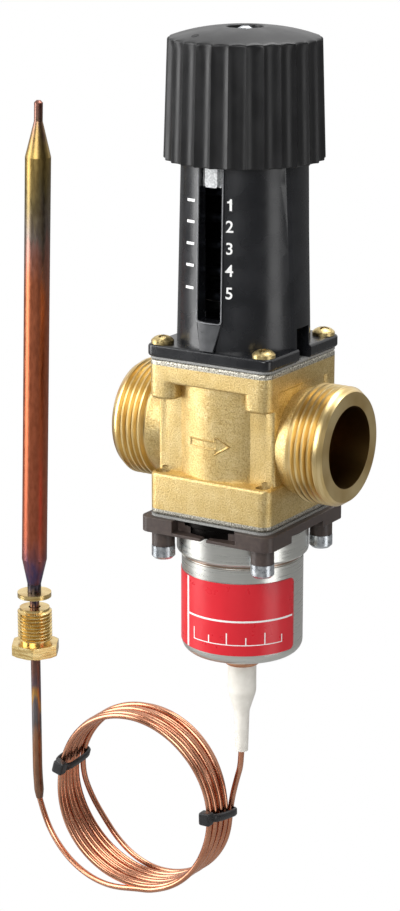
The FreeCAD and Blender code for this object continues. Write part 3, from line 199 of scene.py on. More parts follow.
def dress_skin(node, name, width, slot, finish, body="valve"):
    """Put a soft-edged copy of a solid in its place, with its finish."""
    dress(skin(node, name, width), slot, finish, node, body=body)


def outline(corners, steps=5):
    """Profile through corners of (radius, level, rounding) in millimetres; a rounding is a tangent arc."""
    knots = np.array([corner[:2] for corner in corners], float)
    rounds = [corner[2] if len(corner) > 2 else 0.0 for corner in corners]
    points = []
    for i, size in enumerate(rounds):
        if size <= 0.0:
            points.append(knots[i][None])
            continue
        back = knots[i - 1] - knots[i]
        on = knots[(i + 1) % len(knots)] - knots[i]
        back, on = back / np.linalg.norm(back), on / np.linalg.norm(on)
        half = np.arccos(np.clip(back @ on, -1.0, 1.0)) / 2.0
        reach = size / np.tan(half)
        middle = knots[i] + (back + on) / np.linalg.norm(back + on) * size / np.sin(half)
        first, last = knots[i] + back * reach - middle, knots[i] + on * reach - middle
        share = np.linspace(0.0, 1.0, steps)[:, None]
        swing = math.pi - 2.0 * half
        arc = (np.sin((1.0 - share) * swing) * first + np.sin(share * swing) * last) / np.sin(swing)
        points.append(middle + arc)
    return np.concatenate(points)


def turned(name, profile, x=STEM_X, columns=96, closed=True, sharp=40.0):
    """Surface of revolution: each profile point (radius, level) goes round the upright axis at x."""
    angle = np.linspace(0.0, FULL, columns, endpoint=False)
    radius, level = profile[:, :1], profile[:, 1:]
    points = np.stack([x + radius * np.cos(angle), radius * np.sin(angle), level + 0.0 * angle], axis=-1)
    return put_mesh(name, points * MM, closed_grid(len(profile), columns, closed), sharp)


def skin(node, name, width, angle=35.0):
    """Copy of a solid with its triangles merged into faces and soft edges of that width."""
    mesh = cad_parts[node].data.copy()
    mesh.name = name
    if "custom_normal" in mesh.attributes:
        mesh.attributes.remove(mesh.attributes["custom_normal"])
    work = bmesh.new()
    work.from_mesh(mesh)
    bmesh.ops.remove_doubles(work, verts=work.verts, dist=2e-6)
    bmesh.ops.dissolve_limit(work, angle_limit=math.radians(0.6), verts=work.verts, edges=work.edges)
    work.to_mesh(mesh)
    work.free()
    shade(mesh, angle)
    item = put_object(name, mesh)
    if width > 0.0:
        soft = item.modifiers.new("soft_edges", "BEVEL")
        soft.width = width
        soft.segments = 2
        soft.limit_method = "ANGLE"
        soft.angle_limit = math.radians(angle)
        soft.harden_normals = True
    return item


def wall_sheet(name, radius, turn, level):
    """Sheet round the stem's axis from grids of radius, turn from the front towards +X, and level."""
    points = np.stack([STEM_X + radius * np.sin(turn), -radius * np.cos(turn), level], axis=-1)
    return put_mesh(name, points * MM, open_grid(*level.shape), outward=False)


def wall_patch(name, radius_low, radius_high, azimuth, level, columns=24, rows=2, lift=0.06, climb=0.0):
    """Patch on an upright cone: azimuth and level are pairs, azimuth in degrees from the front towards +X.

    Its level climbs by climb millimetres from its first side to its last.
    """
    turn = np.radians(np.linspace(azimuth[0], azimuth[1], columns))[None, :]
    share = np.linspace(0.0, 1.0, rows)[:, None]
    height = level[0] + (level[1] - level[0]) * share + climb * np.linspace(-0.5, 0.5, columns)[None, :]
    radius = radius_low + (radius_high - radius_low) * share + lift
    return wall_sheet(name, radius, turn, height + 0.0 * turn)


def column_radius(level):
    """Radius of the spring housing's tapered column at a level, both in millimetres."""
    (low, wide), (high, narrow) = COLUMN_FOOT, COLUMN_HEAD
    return wide - (wide - narrow) * (level - low) / (high - low)


def numeral(number, height):
    """Flat mesh of a numeral in the built-in lettering; a 1 is drawn by its corners, with a flag."""
    if number == 1:
        corners = [
            (-0.02, 0.0), (0.19, 0.0), (0.19, 1.0), (0.03, 1.0), (-0.02, 0.89), (-0.1, 0.82),
            (-0.22, 0.79), (-0.22, 0.65), (-0.02, 0.65),
        ]
        mesh = bpy.data.meshes.new("numeral")
        points = [(x * height, y * height, 0.0) for x, y in corners]
        mesh.from_pydata(points, [], [list(range(len(corners)))])
        return mesh
    figure_share = 0.7
    curve = bpy.data.curves.new("numeral", "FONT")
    curve.body = str(number)
    curve.size = height / figure_share
    curve.align_x = "CENTER"
    curve.offset = 0.018 * height
    curve.resolution_u = 5
    drawn = put_object("numeral", curve)
    bpy.context.view_layer.update()
    mesh = bpy.data.meshes.new_from_object(drawn)
    bpy.data.objects.remove(drawn)
    return mesh


def bend_round(name, mesh, height, azimuth, level, radius, lift=0.07):
    """Object from a flat mesh bent round an upright wall, its width round the wall and its height up it."""
    flat = np.zeros(len(mesh.vertices) * 3)
    mesh.vertices.foreach_get("co", flat)
    flat = flat.reshape(-1, 3)
    reach = radius * MM + lift * MM
    turn = math.radians(azimuth) + flat[:, 0] / reach
    up = level * MM + flat[:, 1] - height / 2.0
    points = np.stack([STEM_X * MM + reach * np.sin(turn), -reach * np.cos(turn), up], axis=-1)
    mesh.vertices.foreach_set("co", points.ravel())
    mesh.update()
    mesh.name = name
    return put_object(name, mesh)


def squared(wave, power):
    """Sine or cosine raised to a low power with its sign kept, so that a circle becomes nearly a square."""
    return np.sign(wave) * np.abs(wave) ** power


def soft_block(name, middle, halves, axes, power=0.28, rows=24, columns=48):
    """Superellipsoid: a rounded block, each cosine and sine of the sphere raised to a low power."""
    up = np.linspace(-math.pi / 2, math.pi / 2, rows)[:, None]
    turn = np.linspace(0.0, FULL, columns, endpoint=False)[None, :]
    local = np.stack([
        squared(np.cos(up), power) * squared(np.cos(turn), power) * halves[0],
        squared(np.cos(up), power) * squared(np.sin(turn), power) * halves[1],
        squared(np.sin(up), power) * halves[2] + 0.0 * turn,
    ], axis=-1)
    points = np.array(middle) + local @ np.array(axes)
    return put_mesh(name, points * MM, closed_grid(rows, columns, False))


# Materials


def add(tree, kind, inputs=None, **settings):
    """New node with its settings; an input is a value, or a socket that is linked to it."""
    item = tree.nodes.new(kind)
    for name, value in settings.items():
        setattr(item, name, value)
    for name, value in (inputs or {}).items():
        if isinstance(value, bpy.types.NodeSocket):
            tree.links.new(value, item.inputs[name])
        else:
            item.inputs[name].default_value = value
    return item


def new_finish(name, **sockets):
    """Material with one principled shader, and its tree, shader and object coordinates."""
    material = bpy.data.materials.new(name)
    material.use_nodes = True
    tree = material.node_tree
    shader = tree.nodes["Principled BSDF"]
    for socket, value in sockets.items():
        shader.inputs[socket.replace("_", " ")].default_value = value
    place = add(tree, "ShaderNodeTexCoord").outputs["Object"]
    return material, tree, shader, place


def ramp(tree, source, stops):
    """Colour ramp from (place, hex colour) stops."""
    item = add(tree, "ShaderNodeValToRGB", {"Fac": source})
    band = item.color_ramp
    while len(band.elements) < len(stops):
        band.elements.new(0.5)
    for element, (spot, colour) in zip(band.elements, stops):
        element.position = spot
        element.color = linear(colour) if isinstance(colour, str) else colour
    return item.outputs["Color"]


def spread(tree, source, low, high, start=0.0, end=1.0):
    """Number between low and high as source goes from start to end."""
    inputs = {"Value": source, "From Min": start, "From Max": end, "To Min": low, "To Max": high}
    return add(tree, "ShaderNodeMapRange", inputs).outputs["Result"]


def reckon(tree, operation, *values):
    """Result of a sum on sockets and numbers."""
    return add(tree, "ShaderNodeMath", dict(enumerate(values)), operation=operation).outputs[0]


def blend(tree, kind, share, first, second):
    """Colour from two colours: kind is a blend name, share a number or a socket."""
    inputs = {0: share, 6: first, 7: second}
    return add(tree, "ShaderNodeMix", inputs, data_type="RGBA", blend_type=kind).outputs[2]


def noise(tree, place, grain_mm, detail=3.0, stretch=(1.0, 1.0, 1.0)):
    """Noise whose blobs are about grain_mm across, stretched along the axes."""
    scaled = add(tree, "ShaderNodeMapping", {"Vector": place, "Scale": stretch}).outputs["Vector"]
    inputs = {"Vector": scaled, "Scale": 1.0 / (grain_mm * MM), "Detail": detail}
    return add(tree, "ShaderNodeTexNoise", inputs).outputs["Fac"]


def bump(tree, shader, height, depth_mm, strength=1.0):
    """Bump of a real depth in millimetres on a shader."""
    inputs = {"Height": height, "Distance": depth_mm * MM, "Strength": strength}
    tree.links.new(add(tree, "ShaderNodeBump", inputs).outputs["Normal"], shader.inputs["Normal"])


def coat(tree, shader, colour, gloss):
    """Link a colour and a roughness to a shader."""
    tree.links.new(colour, shader.inputs["Base Color"])
    tree.links.new(gloss, shader.inputs["Roughness"])


def moulded_plastic(name, colour, roughness, shine):
    """Moulded glass-filled nylon: satin, with a fine leathery grain and slightly uneven gloss."""
    material, tree, shader, place = new_finish(name, IOR=1.5, Specular_IOR_Level=shine)
    cloud = noise(tree, place, 9.0, 2.0)
    dark = tuple(c * 0.82 for c in colour) + (1.0,)
    light = tuple(min(1.0, c * 1.2) for c in colour) + (1.0,)
    grain = noise(tree, place, 0.5, 2.0)
    gloss = spread(tree, cloud, roughness - 0.05, roughness + 0.06, *MOST_NOISE)
    coat(tree, shader, ramp(tree, cloud, [(0.3, dark), (0.7, light)]), gloss)
    bump(tree, shader, grain, 0.03, 0.5)
    return material


def forged_brass():
    """Shot-blasted forging: a fine speckle, turned ports, painted shade inside the port bores, and a grey
    band at its top and bottom ends, a painted reflection of their machined edges.
    """
    material, tree, shader, place = new_finish("forged_brass", Metallic=1.0)
    axes = add(tree, "ShaderNodeSeparateXYZ", {"Vector": place})
    from_stem = reckon(tree, "SUBTRACT", axes.outputs["X"], STEM_X * MM)
    reach = reckon(tree, "ABSOLUTE", from_stem)
    port = spread(tree, reach, 0.0, 1.0, 28.4 * MM, 28.9 * MM)
    height = reckon(tree, "ABSOLUTE", axes.outputs["Z"])
    # Grey grainy band at the body's top and bottom ends: painted reflection of the machined edges
    edge_reflection = spread(tree, height, 0.0, 1.0, 25.9 * MM, 26.2 * MM)
    cloud = noise(tree, place, 5.0, 3.0)
    grain = noise(tree, place, 0.5, 2.0)
    skin_colour = ramp(tree, cloud, [(0.3, "#d6be86"), (0.7, "#e2cf9e")])
    speck = ramp(tree, grain, [(0.34, "#b5975a"), (0.5, "#f0e6c8"), (0.66, "#ffffff")])
    blasted = blend(tree, "MULTIPLY", 0.6, skin_colour, speck)
    rings = noise(tree, place, 0.9, 2.0, (1.0, 0.06, 0.06))
    turned_colour = ramp(tree, rings, [(0.3, "#c4a466"), (0.7, "#ecd49c")])
    with_ports = blend(tree, "MIX", port, blasted, turned_colour)
    # Darker brown on the surfaces inside the port bores: painted shade
    across_squared = reckon(tree, "POWER", axes.outputs["Y"], 2.0)
    up_squared = reckon(tree, "POWER", axes.outputs["Z"], 2.0)
    off_axis = reckon(tree, "ADD", across_squared, up_squared)
    near = spread(tree, off_axis, 1.0, 0.0, (14.5 * MM) ** 2, (14.6 * MM) ** 2)
    past_panels = spread(tree, reach, 0.0, 1.0, 18.0 * MM, 19.0 * MM)
    painted_bore_shade = reckon(tree, "MULTIPLY", near, past_panels)
    with_ports = blend(tree, "MIX", painted_bore_shade, with_ports, linear("#8d6f3f"))
    grey = ramp(tree, grain, [(0.36, "#6f6a5e"), (0.62, "#d9d5c8")])
    coat(tree, shader, blend(tree, "MIX", edge_reflection, with_ports, grey), spread(tree, port, 0.46, 0.32))
    rough = reckon(tree, "MULTIPLY", grain, spread(tree, port, 1.0, 0.0))
    bump(tree, shader, rough, 0.15, 0.9)
    return material


def level_metal(name, stops, bands, roughness, streak, grain_mm, stretch):
    """Bare metal whose gloss varies by the share streak, with bands of (low, high, hex colour)."""
    material, tree, shader, place = new_finish(name, Metallic=1.0)
    level = add(tree, "ShaderNodeSeparateXYZ", {"Vector": place}).outputs["Z"]
    marks = noise(tree, place, grain_mm, 3.0, stretch)
    colour = ramp(tree, marks, stops)
    fade = 0.25
    for low, high, tint in bands:
        above = spread(tree, level, 0.0, 1.0, low * MM, (low + fade) * MM)
        below = spread(tree, level, 1.0, 0.0, (high - fade) * MM, high * MM)
        inside = reckon(tree, "MULTIPLY", above, below)
        colour = blend(tree, "MIX", inside, colour, linear(tint))
    low, high = roughness * (1.0 - streak), roughness * (1.0 + streak)
    coat(tree, shader, colour, spread(tree, marks, low, high, *MOST_NOISE))
    bump(tree, shader, marks, 0.003, 0.2)
    return material


def metal(name, stops, roughness, grain_mm, stretch=(1.0, 1.0, 1.0), depth_mm=0.01):
    """Bare metal: its colour and gloss vary along marks of grain_mm, stretched the way it was worked."""
    material, tree, shader, place = new_finish(name, Metallic=1.0)
    marks = noise(tree, place, grain_mm, 3.0, stretch)
    gloss = spread(tree, marks, roughness * 0.75, roughness * 1.3, *MOST_NOISE)
    coat(tree, shader, ramp(tree, marks, stops), gloss)
    bump(tree, shader, marks, depth_mm, 0.6)
    return material


def heat_tinted_copper():
    """Copper that was brazed and sealed by heat: brown, gold at the tip, purple and blue at the neck."""
    material, tree, shader, place = new_finish("heat_tinted_copper", Metallic=1.0)
    level = add(tree, "ShaderNodeSeparateXYZ", {"Vector": place}).outputs["Z"]
    streak = noise(tree, place, 3.0, 4.0, (1.0, 1.0, 0.12))
    shift = spread(tree, streak, -6.0 * MM, 6.0 * MM, *MOST_NOISE)
    moved = reckon(tree, "ADD", level, shift)
    along = spread(tree, moved, 0.0, 1.0, -165.0 * MM, 112.0 * MM)
    tint = ramp(tree, along, [
        (0.0, "#73655e"), (0.03, "#8f6e5a"), (0.1, "#a87a5c"), (0.125, "#74706f"), (0.142, "#7d7677"),
        (0.152, "#c79a55"), (0.165, "#b98a5c"), (0.175, "#75656c"), (0.21, "#7a5a52"), (0.29, "#8a6a5c"),
        (0.315, "#4a4250"), (0.335, "#514668"), (0.36, "#8c5a5c"), (0.4, "#b06248"), (0.55, "#b96848"),
        (0.74, "#b56a4a"), (0.79, "#a07468"), (0.82, "#82766d"), (0.87, "#837450"), (0.92, "#a0874f"),
        (0.95, "#8f7750"), (0.97, "#84655a"), (1.0, "#8c6054"),
    ])
    speck = noise(tree, place, 1.2, 4.0, (1.0, 1.0, 0.4))
    worn = ramp(tree, speck, [(0.35, "#b9a79c"), (0.62, "#ffffff")])
    gloss = spread(tree, speck, 0.3, 0.4, *MOST_NOISE)
    coat(tree, shader, blend(tree, "MULTIPLY", 0.3, tint, worn), gloss)
    bump(tree, shader, speck, 0.02, 0.2)
    return material


def satin(name, colour_low, colour_high, roughness, grain_mm=0.8, depth_mm=0.02):
    """Plain non-metal with a fine surface: nylon, rubber, fibre sheet, film or print."""
    material, tree, shader, place = new_finish(name)
    grain = noise(tree, place, grain_mm, 3.0)
    gloss = spread(tree, grain, roughness - 0.04, roughness + 0.06, *MOST_NOISE)
    coat(tree, shader, ramp(tree, grain, [(0.3, colour_low), (0.7, colour_high)]), gloss)
    bump(tree, shader, grain, depth_mm, 0.5)
    return material


finishes = {}


def make_finishes():
    """Every material of the valve, by name."""
    colours = bpy.context.scene.valve_colours
    drawn = [(0.3, "#d0d0ca"), (0.7, "#dadad4")]
    brushed = (0.03, 0.03, 1.0)
    groove = [(-44.8, -43.7, "#9a8270")]
    # Near-black band on the collar from -34.2 to -20 mm, inside the clamp: painted shade, partly oil
    oil_and_painted_shade = [(-34.2, -20.0, "#171514")]
    copper = [(0.25, "#ba7c60"), (0.5, "#c98d6f"), (0.75, "#d69f82")]
    film = tuple(colours.label)
    deep = tuple(c * 0.96 for c in film) + (1.0,)
    finishes.update(
        knob=moulded_plastic("moulded_knob_nylon", tuple(colours.knob), 0.38, 0.34),
        housing=moulded_plastic("moulded_housing_nylon", tuple(colours.housing), 0.27, 0.5),
        forging=forged_brass(),
        brass=metal("turned_brass", [(0.3, "#cfab66"), (0.7, "#f2db9f")], 0.24, 0.8, (0.15, 0.15, 1.0)),
        screw=metal("brass_screw", [(0.3, "#b39a62"), (0.7, "#dcc994")], 0.36, 0.8),
        zinc=metal("zinc_plated_steel", [(0.3, "#a9aeb3"), (0.7, "#d5d9dc")], 0.3, 1.5),
        can=level_metal("brushed_drawn_steel", drawn, groove, 0.29, 0.12, 0.7, brushed),
        collar=level_metal("turned_collar_steel", drawn, oil_and_painted_shade, 0.29, 0.12, 0.7, brushed),
        clamp=satin("dark_coated_steel", "#3b312e", "#493d37", 0.42, 1.5, 0.015),
        neck=metal("heat_darkened_steel", [(0.3, "#2c2a33"), (0.7, "#55505a")], 0.35, 1.0),
        copper=metal("drawn_copper", copper, 0.22, 9.0, depth_mm=0.002),
        ferrule=metal("turned_copper", [(0.3, "#bb8061"), (0.7, "#d9a583")], 0.3, 0.8, (0.1, 0.1, 1.0)),
        tinted=heat_tinted_copper(),
        label=satin("printed_film", deep, film + (1.0,), 0.3, 5.0, 0.004),
        white_print=satin("white_print", "#e6e6e4", "#f6f6f4", 0.5, 0.4, 0.004),
        # Light grey bead on the black slot frame: painted highlight
        rim=satin("painted_highlight_slot_rim", "#6f7073", "#8f9093", 0.3, 3.0, 0.004),
        # Dark grey chute, lighter than the housing it is moulded with: painted highlight
        chute=satin("painted_highlight_chute", "#3a3b3d", "#47484a", 0.3, 3.0, 0.004),
        gasket=satin("grey_fibre_sheet", "#6e6e6c", "#a3a3a0", 0.75, 0.5, 0.05),
        rubber=satin("black_rubber", "#141414", "#202020", 0.6),
        sleeve=satin("white_sleeve_plastic", "#e4dfd5", "#efebe2", 0.42, 3.0, 0.02),
        nylon=satin("black_tie_nylon", "#101011", "#1c1c1e", 0.38),
        spring=metal("oiled_spring_steel", [(0.3, "#23252a"), (0.7, "#3a3d44")], 0.4, 2.0),
        silver=metal("die_cast_zinc", [(0.3, "#a5a7a8"), (0.7, "#dcdddd")], 0.4, 0.7, depth_mm=0.06),
        # Near-black disc of the knob's index dimple: painted shade
        recess=satin("dark_recess", "#0b0b0c", "#141415", 0.7),
    )


def paint(node, finish):
    """Give a solid that stays as it is one of the materials."""
    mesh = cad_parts[node].data
    mesh.materials.clear()
    mesh.materials.append(finishes[finish])


def paint_plan(plan):
    """Paint every solid that a plan lists under the name of its finish."""
    for finish, nodes in plan.items():
        for node in nodes:
            paint(node, finish)


# Pieces


class VALVE_OT_stage(bpy.types.Operator):
    """Add the floor, the lights, the sky and the photograph's camera"""

    bl_idname = "valve.stage"
    bl_label = "Stage"

    # Soft boxes: name, place, width and height in metres, power in watts
    soft_boxes = [
        ("key", (-0.72, -0.5, 0.22), 0.5, 1.1, 10.5),
        ("front", (0.2, -1.0, 0.5), 0.7, 0.7, 9.0),
        ("strip", (0.98, -0.05, -0.2), 0.42, 0.9, 2.5),
        ("top", (0.1, 0.25, 0.9), 0.6, 0.6, 7.0),
    ]

    def execute(self, context):
        scene = context.scene
        scene.view_settings.view_transform = "Standard"
        azimuth, elevation = math.radians(CAMERA_AZIMUTH), math.radians(CAMERA_ELEVATION)
        flat = math.cos(elevation)
        back = Vector((math.sin(azimuth) * flat, -math.cos(azimuth) * flat, math.sin(elevation)))
        right = Vector((math.cos(azimuth), math.sin(azimuth), 0.0))
        up = back.cross(right)
        place = Vector((STEM_X, 0.0, 0.0)) * MM + back * CAMERA_DISTANCE * MM
        across = (FRAME_PIXELS[0] / 2 - MIDDLE_PIXEL[0]) / FOCAL_PIXELS
        down = (FRAME_PIXELS[1] / 2 - MIDDLE_PIXEL[1]) / FOCAL_PIXELS
        aim = right * across - up * down - back
        lens = bpy.data.cameras.new("camera")
        lens.sensor_width = SENSOR_MM
        lens.lens = FOCAL_PIXELS / FRAME_PIXELS[1] * SENSOR_MM
        lens.clip_start = 0.01
        camera = put_object("camera", lens)
        camera.location = place
        camera.rotation_euler = aim.to_track_quat("-Z", "Y").to_euler()
        scene.camera = camera
        self.add_floor()
        self.add_lights(scene)
        return {"FINISHED"}

    def add_floor(self):
        """Wide pale floor well below the hanging valve: white to the camera, dimmer in reflections."""
        reach, level = 40.0, -0.42
        points = [(x * reach, y * reach, level) for x, y in ((-1, -1), (1, -1), (1, 1), (-1, 1))]
        floor = put_mesh("floor", points, [(0, 1, 2, 3)], outward=False)
        material, tree, shader = new_finish("pale_floor", Roughness=0.9)[:3]
        shader.inputs["Base Color"].default_value = linear("#9a9a9a")
        glow = add(tree, "ShaderNodeEmission", {"Color": (1.0, 1.0, 1.0, 1.0), "Strength": 1.0}).outputs[0]
        seen = add(tree, "ShaderNodeLightPath").outputs["Is Camera Ray"]
        mixer = add(tree, "ShaderNodeMixShader", {0: seen, 1: shader.outputs[0], 2: glow})
        tree.links.new(mixer.outputs[0], tree.nodes["Material Output"].inputs["Surface"])
        floor.data.materials.append(material)

    def add_lights(self, scene):
        """Studio with a bright backdrop behind the valve, a dim room in front, and soft boxes."""
        world = bpy.data.worlds.new("studio")
        scene.world = world
        world.use_nodes = True
        tree = world.node_tree
        way = add(tree, "ShaderNodeTexCoord").outputs["Generated"]
        azimuth = math.radians(CAMERA_AZIMUTH)
        backdrop = (-math.sin(azimuth), math.cos(azimuth), 0.35)
        facing = add(tree, "ShaderNodeVectorMath", {0: way, 1: backdrop}, operation="DOT_PRODUCT")
        behind = spread(tree, facing.outputs["Value"], 0.0, 1.0, -0.6, 0.9)
        room = ramp(tree, behind, [(0.0, "#6c6c6c"), (0.4, "#777777"), (0.85, "#ffffff")])
        seen = add(tree, "ShaderNodeLightPath").outputs["Is Camera Ray"]
        sky = tree.nodes["Background"]
        tree.links.new(blend(tree, "MIX", seen, room, (1.0, 1.0, 1.0, 1.0)), sky.inputs["Color"])
        sky.inputs["Strength"].default_value = 1.0
        for name, spot, width, height, power in self.soft_boxes:
            lamp = bpy.data.lights.new(name, "AREA")
            lamp.shape = "RECTANGLE"
            lamp.size = width
            lamp.size_y = height
            lamp.energy = power
            item = put_object(name, lamp)
            item.location = spot
            toward = Vector((STEM_X * MM, 0.0, 0.0)) - Vector(spot)
            item.rotation_euler = toward.to_track_quat("-Z", "Y").to_euler()


class VALVE_OT_capillary(bpy.types.Operator):
    """Add the capillary as one curve from the sleeve through its coil to the stem tube, with its ties"""

    bl_idname = "valve.capillary"
    bl_label = "Capillary"

    tube_radius = 1.1
    points_per_turn = 20
    # Part of a turn past the whole ones, and what the lead and the tail take of the first and the last turn
    part_turn = 0.25
    lead_join = 0.05
    tail_join = 0.036
    # How far every other turn stands out, how much more in a tie, how far turns wander, and the last sags
    stand_out = 0.28
    stand_out_tied = 0.37
    wander = 0.35
    sag_depth = 0.7
    # Bearings where the turns fan out most and where the last one sags, and the fan's width, in degrees
    fan_bearing = 212.0
    sag_bearing = -78.0
    fan_width = 50.0
    # Ties: points along a band, its half depth, how square its path is, and the latch's place and half sizes
    band_steps = 72
    band_depth = 7.7
    band_power = 0.55
    latch_reach = 9.3
    latch_halves = (2.3, 1.9, 2.5)

    def execute(self, context):
        sizes = context.scene.valve_sizes
        route = np.concatenate([np.array(LEAD_ROUTE), self.coil(sizes), np.array(TAIL_ROUTE)]) * MM
        curve = bpy.data.curves.new("capillary", "CURVE")
        curve.dimensions = "3D"
        curve.bevel_depth = self.tube_radius * MM
        curve.bevel_resolution = 5
        curve.resolution_u = 6
        curve.use_fill_caps = True
        line = curve.splines.new("NURBS")
        line.points.add(len(route) - 1)
        line.points.foreach_set("co", np.hstack([route, np.ones((len(route), 1))]).ravel())
        line.order_u = 3
        line.use_endpoint_u = True
        item = put_object("capillary", curve)
        dress(item, "bright_copper", "copper", "capillary_lead", "capillary_coil", "capillary_tail")
        ties = [piece for tie in TIES for piece in self.tie(*tie)]
        return {"FINISHED"}

    def coil(self, sizes):
        """Turns of the coil side by side, from the back to the front, clockwise as seen from the front.

        The turns fan out between the ties, most of all the first, the last one sags, and the ties draw them
        together, so that every other one stands out there.
        """
        turns = sizes.coil_turns + self.part_turn
        turn = np.linspace(self.lead_join, turns - self.tail_join, int(turns * self.points_per_turn))
        angle = -FULL * turn
        tied = np.maximum(self.close_to(angle, TIES[0][1]), self.close_to(angle, TIES[1][1]))
        stagger = (self.stand_out + self.stand_out_tied * tied) * np.cos(math.pi * turn)
        place = 2.0 * turn / turns - 1.0
        first = np.clip(1.2 - np.abs(turn - 0.5) / 0.5, 0.0, 1.0)
        fan = self.close_to(angle, self.fan_bearing, self.fan_width) * (1.7 * place - 0.3 - 3.8 * first)
        last = np.clip(turn - turns + 1.0, 0.0, 1.0)
        sag = self.sag_depth * last * self.close_to(angle, self.sag_bearing)
        loose = self.wander * np.sin(1.7 * angle / math.pi + 0.6)
        fanned = fan * (1.0 - 0.4 * tied)
        slack = loose * (1.0 - 0.7 * tied)
        radius = COIL_RADIUS + 0.2 + stagger + fanned + slack + sag
        depth = -sizes.coil_depth / MM * place * (1.0 - 0.25 * tied)
        settle = np.clip((turn - turns + 0.34) / 0.3, 0.0, 1.0)
        depth = depth + (TAIL_ROUTE[0][1] - depth) * settle * settle * (3.0 - 2.0 * settle)
        x, z = COIL_MIDDLE
        return np.stack([x + radius * np.cos(angle), depth, z + radius * np.sin(angle)], axis=-1)

    def close_to(self, angle, bearing, width=34.0):
        """One where an angle in radians is at a bearing in degrees, falling to nothing past the width."""
        apart = (np.degrees(angle) - bearing + 180.0) % 360.0 - 180.0
        return np.exp(-((apart / width) ** 2))

    def tie(self, name, angle, slant, aside, half_width):
        """Band carried round the bundle along a rounded slot shape, and the latch's block on its front."""
        turn = math.radians(angle)
        outward = np.array([math.cos(turn), 0.0, math.sin(turn)])
        along = np.array([-math.sin(turn), 0.0, math.cos(turn)])
        front = np.array([0.0, -1.0, 0.0])
        middle = np.array([COIL_MIDDLE[0], 0.0, COIL_MIDDLE[1]]) + (COIL_RADIUS + aside) * outward
        path_turn = np.linspace(0.0, FULL, self.band_steps, endpoint=False)
        bent = squared(np.cos(path_turn), self.band_power)
        flat = squared(np.sin(path_turn), self.band_power)
        section = np.array([(-1.6, 0.0), (-1.45, 0.5), (-1.0, 0.8), (1.0, 0.8), (1.45, 0.5), (1.6, 0.0)])
        section = np.concatenate([section, [(1.0, -0.1), (-1.0, -0.1)]])
        reach = half_width + section[:, 1][None, :]
        depth = self.band_depth + section[:, 1][None, :]
        shift = -slant * flat[:, None] / 2.0
        points = middle + (bent[:, None] * reach)[..., None] * outward
        points = points + (flat[:, None] * depth)[..., None] * front
        points = points + (section[:, 0][None, :] + shift)[..., None] * along
        band = put_mesh(name + "_band", points * MM, closed_grid(self.band_steps, len(section), True))
        latch_middle = middle + front * self.latch_reach - outward * 0.6 - along * slant / 2.0
        head = soft_block(name + "_head", latch_middle, self.latch_halves, (outward, front, along))
        dress(band, "tie_nylon", "nylon", name)
        dress(head, "tie_nylon", "nylon")
        return [band, head]


class VALVE_OT_knob(bpy.types.Operator):
    """Add the fluted setting knob with its index dimple, and its screw with a faceted crown"""

    bl_idname = "valve.knob"
    bl_label = "Setting knob"

    flutes = 28
    flute_radius = 4.4
    flute_depth = 1.15
    steps_per_flute = 18
    dome_radius = 25.2
    dome_fall = 3.5
    dome_level = 141.72
    hole_edge = 7.4
    # Flutes fade in past the dome over wall_fade; within rim_fade of rim_level they lose depth, to rim_share
    wall_fade = 0.9
    rim_level = 139.2
    rim_fade = 3.0
    rim_share = 0.5

    def execute(self, context):
        corners = [(5.1, 124.3), (8.5, 124.3), (8.5, 133.8), (23.05, 133.8), (24.45, 96.7, 0.4)]
        corners += [(27.85, 96.7, 0.5), (26.55, 135.0), (26.45, 137.8, 1.0)]
        outer = outline(corners + [(25.0, 138.35)])[:-1]
        inner = outline([(self.hole_edge, 141.4), (6.3, 141.45, 0.5), (6.3, 134.0), (5.1, 134.0)])[1:]
        profile = np.concatenate([outer, self.dome(), inner])
        columns = self.flutes * self.steps_per_flute
        angle = np.linspace(0.0, FULL, columns, endpoint=False)
        radius, level = profile[:, :1], profile[:, 1:]
        pitch = FULL / self.flutes
        off = (((angle + pitch / 2) % pitch) - pitch / 2)[None, :] * radius
        arc = np.sqrt(np.maximum(self.flute_radius ** 2 - off ** 2, 0.0))
        hollow = np.maximum(arc - self.flute_radius + self.flute_depth, 0.0)
        on_wall = np.clip((radius - self.dome_radius) / self.wall_fade, 0.0, 1.0)
        below_rim = np.clip((self.rim_level - level) / self.rim_fade, self.rim_share, 1.0)
        fluted = radius - hollow * (on_wall * below_rim)
        points = np.stack([
            STEM_X + fluted * np.cos(angle), fluted * np.sin(angle), level + 0.0 * angle,
        ], axis=-1)
        knob = put_mesh("setting_knob_cap", points * MM, closed_grid(len(profile), columns, True), 50.0)
        dress(knob, "knob_plastic", "knob", "setting_knob", body="knob")
        self.dimple()
        facets = np.array([(0.0, 126.0), (3.1, 126.0), (3.1, 140.5), (1.3, 141.5), (0.0, 141.5)])
        crown = turned("knob_screw_crown", facets, STEM_X, 7, False, 15.0)
        dress(crown, "zinc_steel", "zinc", body="knob")
        edge = context.scene.valve_sizes.turned_edge
        dress_skin("knob_screw", "knob_screw_head", edge, "zinc_steel", "zinc", "knob")
        return {"FINISHED"}

    def dome(self):
        """Top of the knob, which falls faster towards its edge."""
        radius = np.linspace(self.dome_radius, self.hole_edge, 14)
        return np.stack([radius, self.top(radius)], axis=-1)

    def top(self, radius):
        """Level of the knob's top at a radius."""
        return self.dome_level - self.dome_fall * (radius / self.dome_radius) ** 2.5

    def dimple(self):
        """Small dark spot with a fine rim on the knob's top that marks its turn: a flat disc whose
        near-black colour is painted shade of the dimple's hollow.
        """
        profile = np.array([(0.0, 0.06), (0.7, 0.06), (1.1, 0.06), (1.25, 0.1), (1.4, -0.05)])
        cup = turned("knob_index_dimple", profile, 0.0, 32, False)
        way = math.radians(-112.0)
        reach = 20.8
        level = self.top(reach)
        slope = self.top(reach - 0.5) - self.top(reach + 0.5)
        tilt = Matrix.Rotation(math.atan(slope), 4, Vector((-math.sin(way), math.cos(way), 0.0)))
        spot = Vector((STEM_X + reach * math.cos(way), reach * math.sin(way), level)) * MM
        cup.data.transform(Matrix.Translation(spot) @ tilt)
        dress(cup, "knob_plastic", "recess", body="knob")


